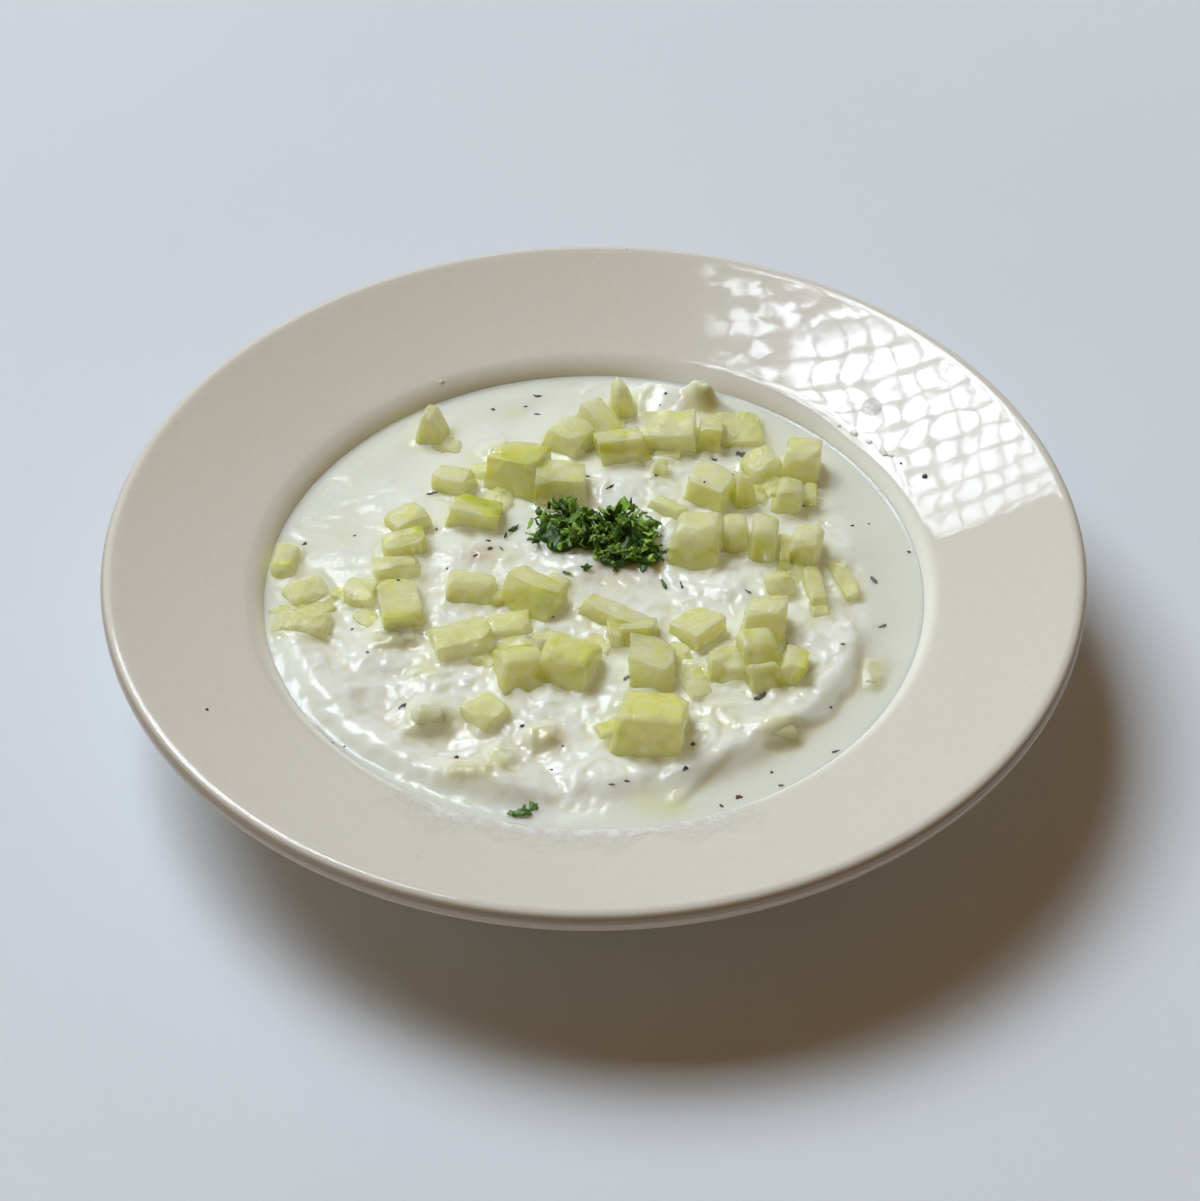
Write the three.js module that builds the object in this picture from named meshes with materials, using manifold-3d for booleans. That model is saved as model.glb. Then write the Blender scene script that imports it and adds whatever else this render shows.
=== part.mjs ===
// Tzatziki dip in a wide-rimmed shallow bowl, topped with cut cucumber, chopped
// parsley and dried herb flakes.  Millimetres, +Z up, origin on the table under
// the middle of the bowl.
import * as THREE from "three";
import { ConvexGeometry } from "three/addons/geometries/ConvexGeometry.js";
import { mergeVertices } from "three/addons/utils/BufferGeometryUtils.js";
import Module from "manifold-3d";

const wasm = await Module();
wasm.setup();

// ---- driving dimensions -------------------------------------------------

const bowl = {
  radius: 114.5,        // outer edge of the rim
  edgeRadius: 2.8,      // half the thickness of the rolled rim edge
  edgeHeight: 35.2,     // middle of the rolled edge above the table
  rimSlope: 18.4,       // degrees by which the rim falls towards the well
  lipRadius: 8,         // rounding between rim and well
  lipStart: 82,         // where the rim's flat slope ends
  wallSlope: 65,        // steepness of the well's wall, degrees
  floorRound: 16,       // rounding between wall and floor
  floor: 8.4,           // height of the well's floor
  recess: 2.4,          // height of the underside inside the foot ring
  footInner: 51,
  footOuter: 56,
  turns: 48,            // facets round the bowl and the dip
};

const dip = {
  edge: 24.2,           // level where the dip meets the wall
  mound: 2.4,           // how much fuller the middle is
  moundRadius: 66,
  calm: 71,             // relief fades out from here to the wall
  rings: 14,            // rows of the top surface
};

const gap = 0.3;        // clearance between touching pieces
const chamfer = 0.9;    // blunted edges of the cut cucumber

// Ridges left by the spoon: start and end angle in degrees, radius at both,
// height, width towards the middle, width towards the wall.
const ridges = [
  [186, 264, 74.5, 68, 2.0, 6, 2.6],
  [-84, -8, 64, 63, 2.2, 9, 3.2],
  [60, 84, 72, 73, 2.4, 7, 3.5],
  [262, 284, 66, 62, 1.2, 5, 3.0],
];

// Curds and spoon marks: x, y, radius, height (a hollow where it is negative).
const curds = [
  [-52, 34, 11, 1.0],
  [-60, 12, 8, 0.9],
  [-22, 62, 12, 0.7],
  [-58, -32, 9, 1.3],
  [-50, -24, 6, 0.9],
  [-40, -34, 6, 1.0],
  [-8, 8, 9, 1.4],
  [-30, 10, 7, 0.8],
  [0, -60, 7, 1.2],
  [-34, -52, 7, -1.0],
  [8, -36, 6, 0.9],
  [30, -44, 8, 1.2],
  [48, -20, 8, 1.0],
  [31, -2, 6, 1.2],
  [14, -1, 5, -0.8],
  [56, 12, 7, 0.9],
  [8, 34, 8, 1.1],
  [-20, -62, 8, 0.8],
  [60, 36, 9, 0.6],
  [20, 68, 8, 1.6],
];

// Cut cucumber, each a node of its own: x, y, how far it stands out of the dip,
// length, width, height, turn about Z, pitch, roll, taper of length and width
// towards the top, and crown of a side that still follows the cucumber's round.
const cucumber = [
  [12.5, -49.4, 8.6, 16, 14.4, 15, -8, 4, -10, 0.24, 0.18, 1.0],
  [13.5, -31.2, 5.6, 10, 11.4, 12, -4, 0, -8, 0.06, 0.08, 0],
  [-6, -29.4, 6.2, 13, 12.4, 12, -22, 4, -16, 0.25, 0.3, 1.4],
  [-17.5, -30.6, 4.4, 10, 12, 10, 14, 6, -18, 0.2, 0.35, 1.2],
  [-14.5, -8, 6.4, 13, 8.4, 13, -34, 6, -22, 0.12, 0.3, 0],
  [4.6, -14.2, 3.8, 17, 4.6, 9, -30, -2, -10, 0.06, 0.1, 0],
  [10.8, -19.8, 4.0, 8, 6, 9, -6, 0, -10, 0.1, 0.1, 0],
  [24, -18, 4.0, 9.5, 9.5, 9, 42, 4, -10, 0.1, 0.1, 0],
  [30.5, -29.8, 3.2, 9.6, 9, 9, 8, 0, -12, 0.2, 0.25, 0.6],
  [22.4, -33.5, 1.6, 5.6, 10.5, 6, 24, 0, 0, 0.05, 0.05, 0],
  [39, -17, 7.2, 10, 9.6, 13, -6, 0, -6, 0.3, 0.35, 1.2],
  [38, -27, 6.8, 9, 8.6, 13, 12, -6, -10, 0.2, 0.2, 0.8],
  [38.6, -34.6, 4.6, 7, 5.4, 10, 20, 0, -22, 0.1, 0.3, 0.8],
  [44.4, -30.6, 4.8, 5.6, 9.5, 10, -14, 14, -8, 0.2, 0.3, 0],
  [-24.5, -43.2, 3.2, 8.4, 8.4, 8, 44, 0, -6, 0.14, 0.14, 0],
  [-37.5, -45, 3.6, 8.5, 6.4, 9, 10, 0, -10, 0.3, 0.3, 0.8],
  [-30.4, -21, 3.0, 13.6, 11, 9, 16, 4, -8, 0.12, 0.2, 0.8],
  [-19.5, -15.8, 2.0, 11, 7, 7, 4, 0, -4, 0.1, 0.2, 0.5],
  [-29, -4.4, 3.6, 12, 8.6, 9, -4, 0, -12, 0.3, 0.4, 1.0],
  [-45.2, -8.8, 4.2, 9.2, 14.6, 10, 10, 4, -4, 0.04, 0.06, 0],
  [-46, -18.2, 1.4, 9, 5, 6, 10, 0, 0, 0.1, 0.1, 0],
  [-54.4, -3.8, 2.6, 7.6, 8, 8, -12, -4, -4, 0.2, 0.2, 0.6],
  [-46, 3.6, 3.2, 10.5, 6.4, 8, 4, 0, -6, 0.1, 0.2, 0.6],
  [-45, 11.2, 3.6, 10, 6, 9, 10, -2, -8, 0.1, 0.2, 0],
  [-44, 19.6, 4.6, 9, 7.6, 10, 34, -8, -10, 0.2, 0.3, 0],
  [-67, -1.8, 1.6, 11, 10, 7, 30, 0, 0, 0.25, 0.3, 0.8],
  [-68.2, -12.8, 1.7, 14, 9.6, 7, -10, 0, 0, 0.2, 0.3, 1.0],
  [-73, 8.6, 2.6, 6.6, 10.6, 8, -6, 8, 0, 0.3, 0.2, 0.8],
  [-39.6, 54.6, 7.8, 10.4, 7.6, 13, -12, -6, -8, 0.75, 0.5, 0],
  [-33.6, 33.4, 4.8, 9, 7, 10, -26, -8, -10, 0.1, 0.3, 0],
  [-18.4, 35.4, 7.4, 13, 11, 14, -24, -2, -14, 0.2, 0.2, 0.6],
  [-29, 21.6, 4.6, 11.4, 7.4, 10, -8, 4, -8, 0.06, 0.1, 0],
  [-8, 31, 6.4, 11.5, 9.8, 13, -4, 0, -10, 0.06, 0.1, 0],
  [24, 10, 7.8, 12.5, 12.5, 14, -12, 0, -12, 0.35, 0.3, 1.6],
  [33.6, 13.4, 6.4, 6.2, 9, 12, 4, 0, -8, 0.2, 0.3, 0.8],
  [40.2, 11, 7.0, 6.2, 10, 13, -6, 4, -8, 0.1, 0.2, 0.8],
  [49.6, 9.4, 6.4, 7.8, 10, 12, -16, 10, -8, 0.25, 0.3, 0.8],
  [51.6, -3, 2.6, 4.4, 12, 8, 8, 4, -4, 0.2, 0.1, 0.6],
  [43.6, -2.4, 3.4, 7.4, 7, 8, 10, 0, -6, 0.3, 0.3, 0.8],
  [58.6, 0.8, 1.8, 4, 12, 6, 20, 0, 0, 0.1, 0.1, 0],
  [27.8, 28.8, 6.8, 10, 8.4, 13, -30, 0, -8, 0.1, 0.14, 0],
  [36, 28.2, 7.4, 6.8, 5.6, 13, 14, 0, -16, 0.6, 0.2, 0],
  [41, 39.6, 4.8, 9, 9.4, 10, 20, 0, -8, 0.2, 0.2, 0.6],
  [50.4, 40.2, 7.6, 9, 9.4, 13, -12, 4, -8, 0.3, 0.3, 1.0],
  [46.6, 28.2, 5.4, 6.8, 10, 10, -8, 6, -10, 0.2, 0.2, 0.6],
  [36.4, 54.6, 2.4, 10.4, 11, 7, 8, 0, -4, 0.1, 0.1, 0],
  [18.6, 51.2, 6.0, 12.4, 9, 12, -3, 0, -6, 0.04, 0.08, 0],
  [28, 50.8, 6.0, 5.2, 9, 12, -4, 2, -6, 0.06, 0.1, 0],
  [7.2, 45.4, 5.8, 12.6, 9.6, 11, 12, 0, -12, 0.25, 0.3, 0],
  [-6.6, 49.6, 5.4, 9, 9, 12, -36, 0, -8, 0.1, 0.1, 0],
  [1.4, 53.6, 7.0, 12.6, 5.4, 12, -57, 14, 0, 0.06, 0.06, 0],
  [7.4, 64, 8.6, 9, 7.6, 14, 10, 0, -10, 0.7, 0.5, 0.8],
];

// Smaller scraps of cucumber, part of the dip they lie in: the same values.
const scraps = [
  [3.4, -48.4, 1.8, 6, 4.6, 5, 20, 0, 0, 0.2, 0.2, 0],
  [5.2, -19.6, 3.0, 3.6, 6.4, 7, 8, 0, -6, 0.1, 0.1, 0],
  [-27, -61.6, 1.8, 9, 3.8, 5, -10, 0, 0, 0.1, 0.2, 0.4],
  [-21.4, -58.4, 2.6, 3.4, 7.4, 6, -6, 0, 0, 0.2, 0.2, 0],
  [-12, -51, 2.4, 4.6, 4, 6, 20, 0, 0, 0.3, 0.3, 0.4],
  [41.6, -49.6, 1.8, 7, 4.6, 5, 14, 0, 0, 0.2, 0.3, 0.4],
  [64, -29.4, 0.9, 2.8, 8, 4, -10, 0, 0, 0.3, 0.3, 0],
  [18, 44.6, 1.4, 6.6, 2.8, 4, -12, 0, 0, 0.1, 0.1, 0],
  [16, 38, 2.6, 3.4, 3.8, 6, -6, 0, 0, 0.2, 0.2, 0],
  [52.4, 30, 3.6, 3, 6.4, 7, -6, 0, 0, 0.2, 0.2, 0],
  [17.2, 24.2, 2.6, 8.6, 4.2, 6, -36, 0, -10, 0.1, 0.2, 0],
  [45, 6.8, 4.4, 2.6, 8, 7, -4, 0, 0, 0.1, 0.1, 0],
  [52.6, -10.6, 1.6, 4.6, 3.6, 5, 10, 0, 0, 0.3, 0.3, 0.4],
  [-27.4, 38.4, 2.0, 5.4, 5, 6, 10, 0, 0, 0.2, 0.2, 0],
  [-8.2, -2.4, 2.4, 5, 4.6, 6, -20, 0, 0, 0.2, 0.2, 0],
  [-21.4, -6.6, 1.8, 5.4, 4, 5, 10, 0, 0, 0.2, 0.2, 0],
  [-23.4, 46.6, 2.2, 4.6, 4, 6, 10, 0, 0, 0.3, 0.3, 0.4],
  [27.2, 65.6, 6.2, 3.6, 4.6, 10, 6, 0, -8, 0.4, 0.3, 0.6],
];

// Dried herb flakes, pressed into the dip: x, y, length, width, turn.
const flakes = [
  [-14, 69.5, 3.0, 1.4, 0],
  [-25, 64, 2.4, 1.3, -20],
  [-14, 62, 2.2, 1.2, 0],
  [36.5, 46.6, 3.4, 3.0, -20],
  [29.6, 44, 2.4, 1.3, -30],
  [4, 32, 3.6, 1.2, 45],
  [-1.6, 36.2, 2.2, 1.3, 10],
  [43.4, 30.4, 2.6, 1.2, -60],
  [-69, 15.4, 2.2, 1.3, 30],
  [-25, 13.4, 2.2, 1.1, 0],
  [-22, 11, 2.4, 1.0, -60],
  [20.6, -2, 3.6, 0.9, -80],
  [36, -5, 2.6, 1.2, -50],
  [66, 2, 3.4, 1.2, -60],
  [67, -13.4, 2.4, 2.0, 20],
  [-43.4, -41, 3.2, 1.4, 60],
  [-15.6, -47, 2.2, 1.5, 20],
  [37.6, -38.6, 3.6, 2.0, 45],
  [7.8, -33.6, 3.0, 2.2, 20],
  [21.8, -53.8, 2.4, 1.8, 40],
  [20.4, -61, 2.6, 1.6, 50],
  [32, -67.4, 2.6, 2.0, 20],
  [54, -53.6, 2.2, 1.1, 30],
];

// Parsley: two soft clumps under the leaves (x, y, reach in x, y and z), and
// single bits that fell beside them (x, y, length, width, turn).
const clumps = [
  [-5.4, 14.4, 8.6, 8.4, 4.2],
  [7.6, 13.6, 8.2, 8.0, 4.0],
  [1.4, 12.6, 8.0, 6.0, 3.2],
];
const parsley = {
  leaves: 20,
  length: 6.4,
  width: 3.4,
  thickness: 0.55,
  seed: 11,
};
const strays = [
  [-19.2, 17.8, 4.6, 1.8, 50],
  [-1.8, 2.8, 3.6, 2.4, 20],
  [16.4, -0.6, 5.4, 1.3, -66],
  [5.4, 3.8, 4.2, 1.8, 60],
  [-15.6, -71.8, 5.8, 4.6, 20],
];

// ---- shapes ---------------------------------------------------------------

const { degToRad, radToDeg, smoothstep } = THREE.MathUtils;

// Height of the dip's surface: a low mound, the spoon's ridges and the curds,
// which all die away towards the wall of the well.
function dipHeight(x, y) {
  const r = Math.hypot(x, y);
  const angle = radToDeg(Math.atan2(y, x));
  let relief = 0;
  for (const [from, to, startRadius, endRadius, height, inner, outer] of ridges) {
    const along = ((angle - from + 720) % 360) / (to - from);
    if (along > 1) continue;
    const across = r - startRadius - (endRadius - startRadius) * along;
    const ends = smoothstep(along, 0, 0.2) * (1 - smoothstep(along, 0.8, 1));
    relief += height * ends * Math.exp(-((across / (across < 0 ? inner : outer)) ** 2));
  }
  for (const [cx, cy, radius, height] of curds) {
    relief += height * Math.exp(-((x - cx) ** 2 + (y - cy) ** 2) / radius ** 2);
  }
  const mound = dip.mound * (1 - smoothstep(r / dip.moundRadius, 0.55, 1.1));
  return dip.edge + mound + relief * (1 - smoothstep(r, dip.calm, 76.5));
}

// Points of a circular arc in the profile plane, angles in degrees.
function arc(x, z, radius, from, to, steps) {
  return Array.from({ length: steps + 1 }, (_, i) => {
    const a = degToRad(from + ((to - from) * i) / steps);
    return new THREE.Vector2(x + radius * Math.cos(a), z + radius * Math.sin(a));
  });
}

// The well's section from its middle out to the rim, moved by depth into the
// china (or, where depth is negative, into the dip): floor rounding, then lip.
function wellSection(depth, steps) {
  const slope = degToRad(bowl.rimSlope);
  const edgeX = bowl.radius - bowl.edgeRadius;
  const rimTopX = edgeX - bowl.edgeRadius * Math.sin(slope);
  const rimTopZ = bowl.edgeHeight + bowl.edgeRadius * Math.cos(slope);
  const lipTopZ = rimTopZ - (rimTopX - bowl.lipStart) * Math.tan(slope);
  const lipX = bowl.lipStart + bowl.lipRadius * Math.sin(slope);
  const lipZ = lipTopZ - bowl.lipRadius * Math.cos(slope);
  const wall = degToRad(bowl.wallSlope);
  const wallTopX = lipX - bowl.lipRadius * Math.sin(wall);
  const wallTopZ = lipZ + bowl.lipRadius * Math.cos(wall);
  const roundZ = bowl.floor + bowl.floorRound;
  const wallFootZ = roundZ - bowl.floorRound * Math.cos(wall);
  const wallFootX = wallTopX - (wallTopZ - wallFootZ) / Math.tan(wall);
  const roundX = wallFootX - bowl.floorRound * Math.sin(wall);
  return {
    floor: arc(roundX, roundZ, bowl.floorRound + depth, -90, bowl.wallSlope - 90, steps),
    lip: arc(lipX, lipZ, bowl.lipRadius - depth, 90 + bowl.wallSlope, 90 + bowl.rimSlope, steps),
  };
}

// Turns a closed section about the vertical axis.
function turned(points, turns) {
  return new THREE.LatheGeometry(points, turns).rotateX(Math.PI / 2);
}

// A closed geometry as a solid: corners shared, slivers of no width left out.
function solid(geometry) {
  const open = geometry.clone();
  open.deleteAttribute("normal");
  open.deleteAttribute("uv");
  const merged = mergeVertices(open, 1e-4);
  const index = Array.from(merged.index.array);
  const corners = [];
  for (let i = 0; i < index.length; i += 3) {
    const [a, b, c] = index.slice(i, i + 3);
    if (a !== b && b !== c && c !== a) corners.push(a, b, c);
  }
  return new wasm.Manifold(new wasm.Mesh({
    numProp: 3,
    vertProperties: new Float32Array(merged.attributes.position.array),
    triVerts: new Uint32Array(corners),
  }));
}

// The largest connected piece of a solid.
function whole(body) {
  return body.decompose().reduce((a, b) => (b.volume() > a.volume() ? b : a));
}

function geometryOf(body) {
  const { vertProperties, triVerts } = body.getMesh();
  const geometry = new THREE.BufferGeometry();
  geometry.setAttribute("position", new THREE.BufferAttribute(new Float32Array(vertProperties), 3));
  geometry.setIndex(new THREE.BufferAttribute(new Uint32Array(triVerts), 1));
  geometry.computeVertexNormals();
  return geometry;
}

// ---- bowl -------------------------------------------------------------------

function bowlSolid() {
  const inside = wellSection(0, 3);
  const outside = wellSection(2 * bowl.edgeRadius, 3);
  const edgeX = bowl.radius - bowl.edgeRadius;
  const section = [
    new THREE.Vector2(0, bowl.recess),
    new THREE.Vector2(bowl.footInner - 1, bowl.recess),
    new THREE.Vector2(bowl.footInner, 0),
    new THREE.Vector2(bowl.footOuter, 0),
    new THREE.Vector2(bowl.footOuter + 1, bowl.floor - 2 * bowl.edgeRadius),
    ...outside.floor,
    ...outside.lip,
    ...arc(edgeX, bowl.edgeHeight, bowl.edgeRadius, bowl.rimSlope - 90, bowl.rimSlope + 90, 5),
    ...inside.lip.reverse(),
    ...inside.floor.reverse(),
    new THREE.Vector2(0, bowl.floor),
  ];
  return solid(turned(section, bowl.turns));
}

// ---- cucumber -----------------------------------------------------------------

// A point of a cut piece from its place u in a cube of half side 1: the block
// narrows towards its top, leans a little, and one side may be crowned.
function cutPoint([ux, uy, uz], piece, number, grow) {
  const [x, y, show, length, width, height, turn, pitch, roll, taperX, taperY, crown] = piece;
  const up = (uz + 1) / 2;
  const lean = 0.07;
  const tip = 0.05;
  const local = new THREE.Vector3(
    (length / 2 + grow) * ux * (1 - taperX * up) + length * lean * Math.sin(2.4 * number) * uz,
    (width / 2 + grow) * uy * (1 - taperY * up) + width * lean * Math.sin(3.7 * number) * uz,
    (height / 2 + grow) * uz
      + height * tip * (Math.sin(1.9 * number) * ux + Math.sin(4.3 * number) * uy)
      + crown * (1 - uy ** 2) * up,
  );
  const turned = new THREE.Euler(degToRad(roll), degToRad(pitch), degToRad(turn), "ZYX");
  const centre = new THREE.Vector3(x, y, dipHeight(x, y) + show - height / 2);
  return local.applyEuler(turned).add(centre);
}

// A cut piece as the hull of its corners, each blunted by bevel millimetres.
function cutSolid(piece, number, grow = 0, bevel = chamfer) {
  const half = piece.slice(3, 6).map((side) => side / 2);
  const points = [];
  for (const corner of [0, 1, 2, 3, 4, 5, 6, 7]) {
    const u = [corner & 1, corner & 2, corner & 4].map((bit) => (bit ? 1 : -1));
    if (bevel === 0) points.push(cutPoint(u, piece, number, grow));
    for (const face of bevel > 0 ? [0, 1, 2] : []) {
      const blunt = u.map((side, axis) => (axis === face ? side : side * (1 - bevel / half[axis])));
      points.push(cutPoint(blunt, piece, number, grow));
    }
  }
  const crown = piece[11];
  for (const across of crown > 0 ? [-0.4, 0.4] : []) {
    for (const end of [-1, 1]) {
      points.push(cutPoint([end * (1 - bevel / half[0]), across, 1], piece, number, grow));
    }
  }
  return solid(new ConvexGeometry(points));
}

function near([x, y], [otherX, otherY], reach) {
  return Math.hypot(x - otherX, y - otherY) < reach;
}

// Every piece keeps off the well's wall, and gives way to the pieces before it.
function cucumberSolids() {
  const well = dipBody(15);
  return cucumber.map((piece, i) => {
    let body = cutSolid(piece, i + 1);
    if (!near(piece, [0, 0], 62)) body = body.intersect(well);
    cucumber.slice(0, i).forEach((other, j) => {
      if (near(piece, other, 20)) body = body.subtract(cutSolid(other, j + 1, gap, 0));
    });
    return whole(body);
  });
}

// ---- herbs ----------------------------------------------------------------------

// Repeatable random numbers from 0 to 1.
function randomFrom(seed) {
  let state = seed;
  return () => {
    state = (state * 1664525 + 1013904223) % 4294967296;
    return state / 4294967296;
  };
}

// A flake: a flat blunt lozenge, thickest in the middle.
function flakeSolid([x, y, length, width, turn]) {
  const points = [];
  for (let i = 0; i < 5; i++) {
    const a = (i * 2 * Math.PI) / 5 + 0.3;
    const reach = 0.86 + 0.14 * Math.sin(7 * i + x);
    for (const [size, z] of [[1, -0.5], [0.8, 0.35]]) {
      points.push(new THREE.Vector3(
        (length / 2) * size * reach * Math.cos(a),
        (width / 2) * size * reach * Math.sin(a),
        z,
      ));
    }
  }
  const geometry = new ConvexGeometry(points);
  geometry.rotateZ(degToRad(turn));
  geometry.translate(x, y, dipHeight(x, y));
  return solid(geometry);
}

// A leaf: a sheet that narrows to both ends, ripples along its length and is
// cupped across it.  Upper and lower face share one pattern of triangles.
function leafGeometry(length, width, ripple, cup) {
  const along = 3;
  const across = 2;
  const rows = across + 1;
  const layer = (along + 1) * rows;
  const points = [];
  for (const side of [0.5, -0.5]) {
    for (let i = 0; i <= along; i++) {
      for (let j = 0; j <= across; j++) {
        const u = i / along;
        const v = (2 * j) / across - 1;
        points.push(
          length * (u - 0.5),
          (width / 2) * v * (0.3 + 0.7 * Math.sin(Math.PI * (0.1 + 0.8 * u))),
          ripple * Math.sin(2 * Math.PI * u) + cup * v * v + side * parsley.thickness,
        );
      }
    }
  }
  const index = [];
  for (let i = 0; i < along; i++) {
    for (let j = 0; j < across; j++) {
      const a = i * rows + j;
      const [b, c, d] = [a + rows, a + rows + 1, a + 1];
      index.push(a, b, c, a, c, d);
      index.push(layer + a, layer + c, layer + b, layer + a, layer + d, layer + c);
    }
  }
  const border = [];
  for (let i = 0; i < along; i++) border.push(i * rows);
  for (let j = 0; j < across; j++) border.push(along * rows + j);
  for (let i = along; i > 0; i--) border.push(i * rows + across);
  for (let j = across; j > 0; j--) border.push(j);
  border.forEach((a, i) => {
    const b = border[(i + 1) % border.length];
    index.push(a, layer + a, layer + b, a, layer + b, b);
  });
  const geometry = new THREE.BufferGeometry();
  geometry.setAttribute("position", new THREE.Float32BufferAttribute(points, 3));
  geometry.setIndex(index);
  return geometry;
}

// A bit of parsley lying on the dip.
function straySolid([x, y, length, width, turn]) {
  const geometry = leafGeometry(length, width, 0.3, 0.3);
  geometry.rotateZ(degToRad(turn));
  geometry.translate(x, y, dipHeight(x, y) + 0.2);
  return solid(geometry);
}

function clumpSolid([x, y, reachX, reachY, reachZ]) {
  const geometry = new THREE.SphereGeometry(1, 10, 6).rotateX(Math.PI / 2);
  geometry.scale(reachX, reachY, reachZ);
  geometry.translate(x, y, dipHeight(x, y) + 1);
  return solid(geometry);
}

// The heap: clumps with leaves stuck in them at all angles, lying on the dip
// and clear of the cucumber beside it.
function parsleySolid(ground) {
  const random = randomFrom(parsley.seed);
  let body = clumps.map(clumpSolid).reduce((a, b) => a.add(b));
  for (let i = 0; i < parsley.leaves; i++) {
    const [x, y, reachX, reachY, reachZ] = clumps[i % clumps.length];
    const heading = i * 2.4 + random();
    const out = 0.35 + 0.6 * random();
    const length = parsley.length * (0.7 + 0.5 * random());
    const leaf = leafGeometry(length, parsley.width * (0.7 + 0.5 * random()), 0.5, 0.5);
    leaf.rotateX(1.6 * (random() - 0.5));
    leaf.rotateY(-0.2 - 0.7 * random() * (1 - 0.5 * out));
    leaf.rotateZ(heading + 0.8 * (random() - 0.5));
    const lift = 1.2 + reachZ * Math.sqrt(1 - out ** 2) * 0.9;
    const px = x + reachX * out * Math.cos(heading);
    const py = y + reachY * out * Math.sin(heading);
    leaf.translate(px, py, dipHeight(px, py) + lift);
    body = body.add(solid(leaf));
  }
  for (const [pieces, table] of [[cucumber, 1], [scraps, 0]]) {
    pieces.forEach((piece, i) => {
      if (near(piece, clumps[2], 32)) body = body.subtract(cutSolid(piece, i + 1, gap, 0));
    });
  }
  return whole(body.subtract(ground));
}

// ---- dip --------------------------------------------------------------------------

// The dip fills the well up to its own uneven surface.  Raising that surface
// by lift gives the ground on which loose toppings lie.
function dipBody(lift = 0) {
  const { floor, lip } = wellSection(-gap, 3);
  const edge = lip[0];
  const section = [new THREE.Vector2(0, bowl.floor + gap), ...floor, edge];
  const surfaceStart = section.length;
  for (let i = 1; i <= dip.rings; i++) {
    section.push(new THREE.Vector2(edge.x * (1 - i / dip.rings), dip.edge));
  }
  const geometry = turned(section, bowl.turns);
  const place = geometry.attributes.position;
  for (let i = 0; i < place.count; i++) {
    if (i % section.length >= surfaceStart) {
      place.setZ(i, dipHeight(place.getX(i), place.getY(i)) + lift);
    }
  }
  return solid(geometry);
}

function dipSolid() {
  let body = dipBody();
  scraps.forEach((piece, i) => {
    body = body.add(cutSolid(piece, i + 1, 0, 0));
  });
  for (const flake of flakes) body = body.add(flakeSolid(flake));
  for (const stray of strays) body = body.add(straySolid(stray));
  cucumber.forEach((piece, i) => {
    body = body.subtract(cutSolid(piece, i + 1, gap, 0));
  });
  return whole(body);
}

// ---- the dish ------------------------------------------------------------------------

const materials = {
  china: { color: 0xcbc5b8, roughness: 0.22, metalness: 0 },
  yoghurt: { color: 0xe9eae0, roughness: 0.3, metalness: 0 },
  cucumber: { color: 0xc2c16a, roughness: 0.35, metalness: 0 },
  parsley: { color: 0x2c5a24, roughness: 0.55, metalness: 0 },
};

const dish = new THREE.Group();

function addNode(name, body, material) {
  const mesh = new THREE.Mesh(geometryOf(body), new THREE.MeshStandardMaterial(materials[material]));
  mesh.name = name;
  dish.add(mesh);
}

addNode("bowl", bowlSolid(), "china");
addNode("dip", dipSolid(), "yoghurt");
addNode("parsley_heap", parsleySolid(dipBody(gap)), "parsley");
cucumberSolids().forEach((body, i) => {
  addNode(`cucumber_${String(i + 1).padStart(2, "0")}`, body, "cucumber");
});

export default dish;
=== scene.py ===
"""Tzatziki dip in a wide-rimmed bowl of cream china, topped with cut cucumber, chopped
parsley and dried herbs.  Shapes are worked out in millimetres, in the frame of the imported
model (+Z up, origin on the table under the middle of the bowl), and laid into Blender's
metres by lay_mesh."""

import bpy
import numpy as np
from mathutils import Matrix


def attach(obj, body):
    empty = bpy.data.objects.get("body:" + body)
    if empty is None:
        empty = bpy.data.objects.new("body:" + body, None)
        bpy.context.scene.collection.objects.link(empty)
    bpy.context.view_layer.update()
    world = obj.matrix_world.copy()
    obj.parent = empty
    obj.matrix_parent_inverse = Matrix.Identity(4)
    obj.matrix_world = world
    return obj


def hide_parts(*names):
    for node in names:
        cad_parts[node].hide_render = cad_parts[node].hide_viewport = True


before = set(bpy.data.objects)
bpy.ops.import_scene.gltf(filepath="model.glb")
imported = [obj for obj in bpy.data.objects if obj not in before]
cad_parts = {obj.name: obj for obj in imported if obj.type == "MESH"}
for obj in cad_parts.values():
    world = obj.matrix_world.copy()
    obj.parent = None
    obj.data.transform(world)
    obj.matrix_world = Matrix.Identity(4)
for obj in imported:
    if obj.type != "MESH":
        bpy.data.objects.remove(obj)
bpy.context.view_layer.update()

MM = 0.001

# ---- driving sizes, millimetres and degrees ---------------------------------------

RIM_RADIUS = 114.5        # outer edge of the rim
EDGE_RADIUS = 2.8         # half the thickness of the rolled rim edge
EDGE_HEIGHT = 35.2        # middle of the rolled edge above the table
RIM_SLOPE = 18.4          # the rim's fall towards the well
RIM_SAG = 0.45            # how far the rim dishes in between well and edge
LIP_RADIUS = 8.0          # rounding between rim and well
LIP_START = 82.0          # where the rim's slope ends
WALL_SLOPE = 65.0         # steepness of the well's wall
FLOOR_ROUND = 16.0        # rounding between wall and floor
FLOOR = 8.4               # height of the well's floor
RECESS = 2.4              # underside inside the foot ring
FOOT_INNER = 51.0
FOOT_OUTER = 56.0

DIP_EDGE = 24.2           # level where the dip meets the wall
DIP_MOUND = 2.4           # how much fuller the middle is
DIP_MOUND_RADIUS = 66.0
DIP_CALM = 71.0           # relief fades out from here to the wall
DIP_REACH = 78.6          # the dip's skin ends here, inside the china
DIP_ROWS = 302            # grid lines each way over the dip
DIP_GAP = 0.3             # the dip stands this clear of the well's floor

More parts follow.
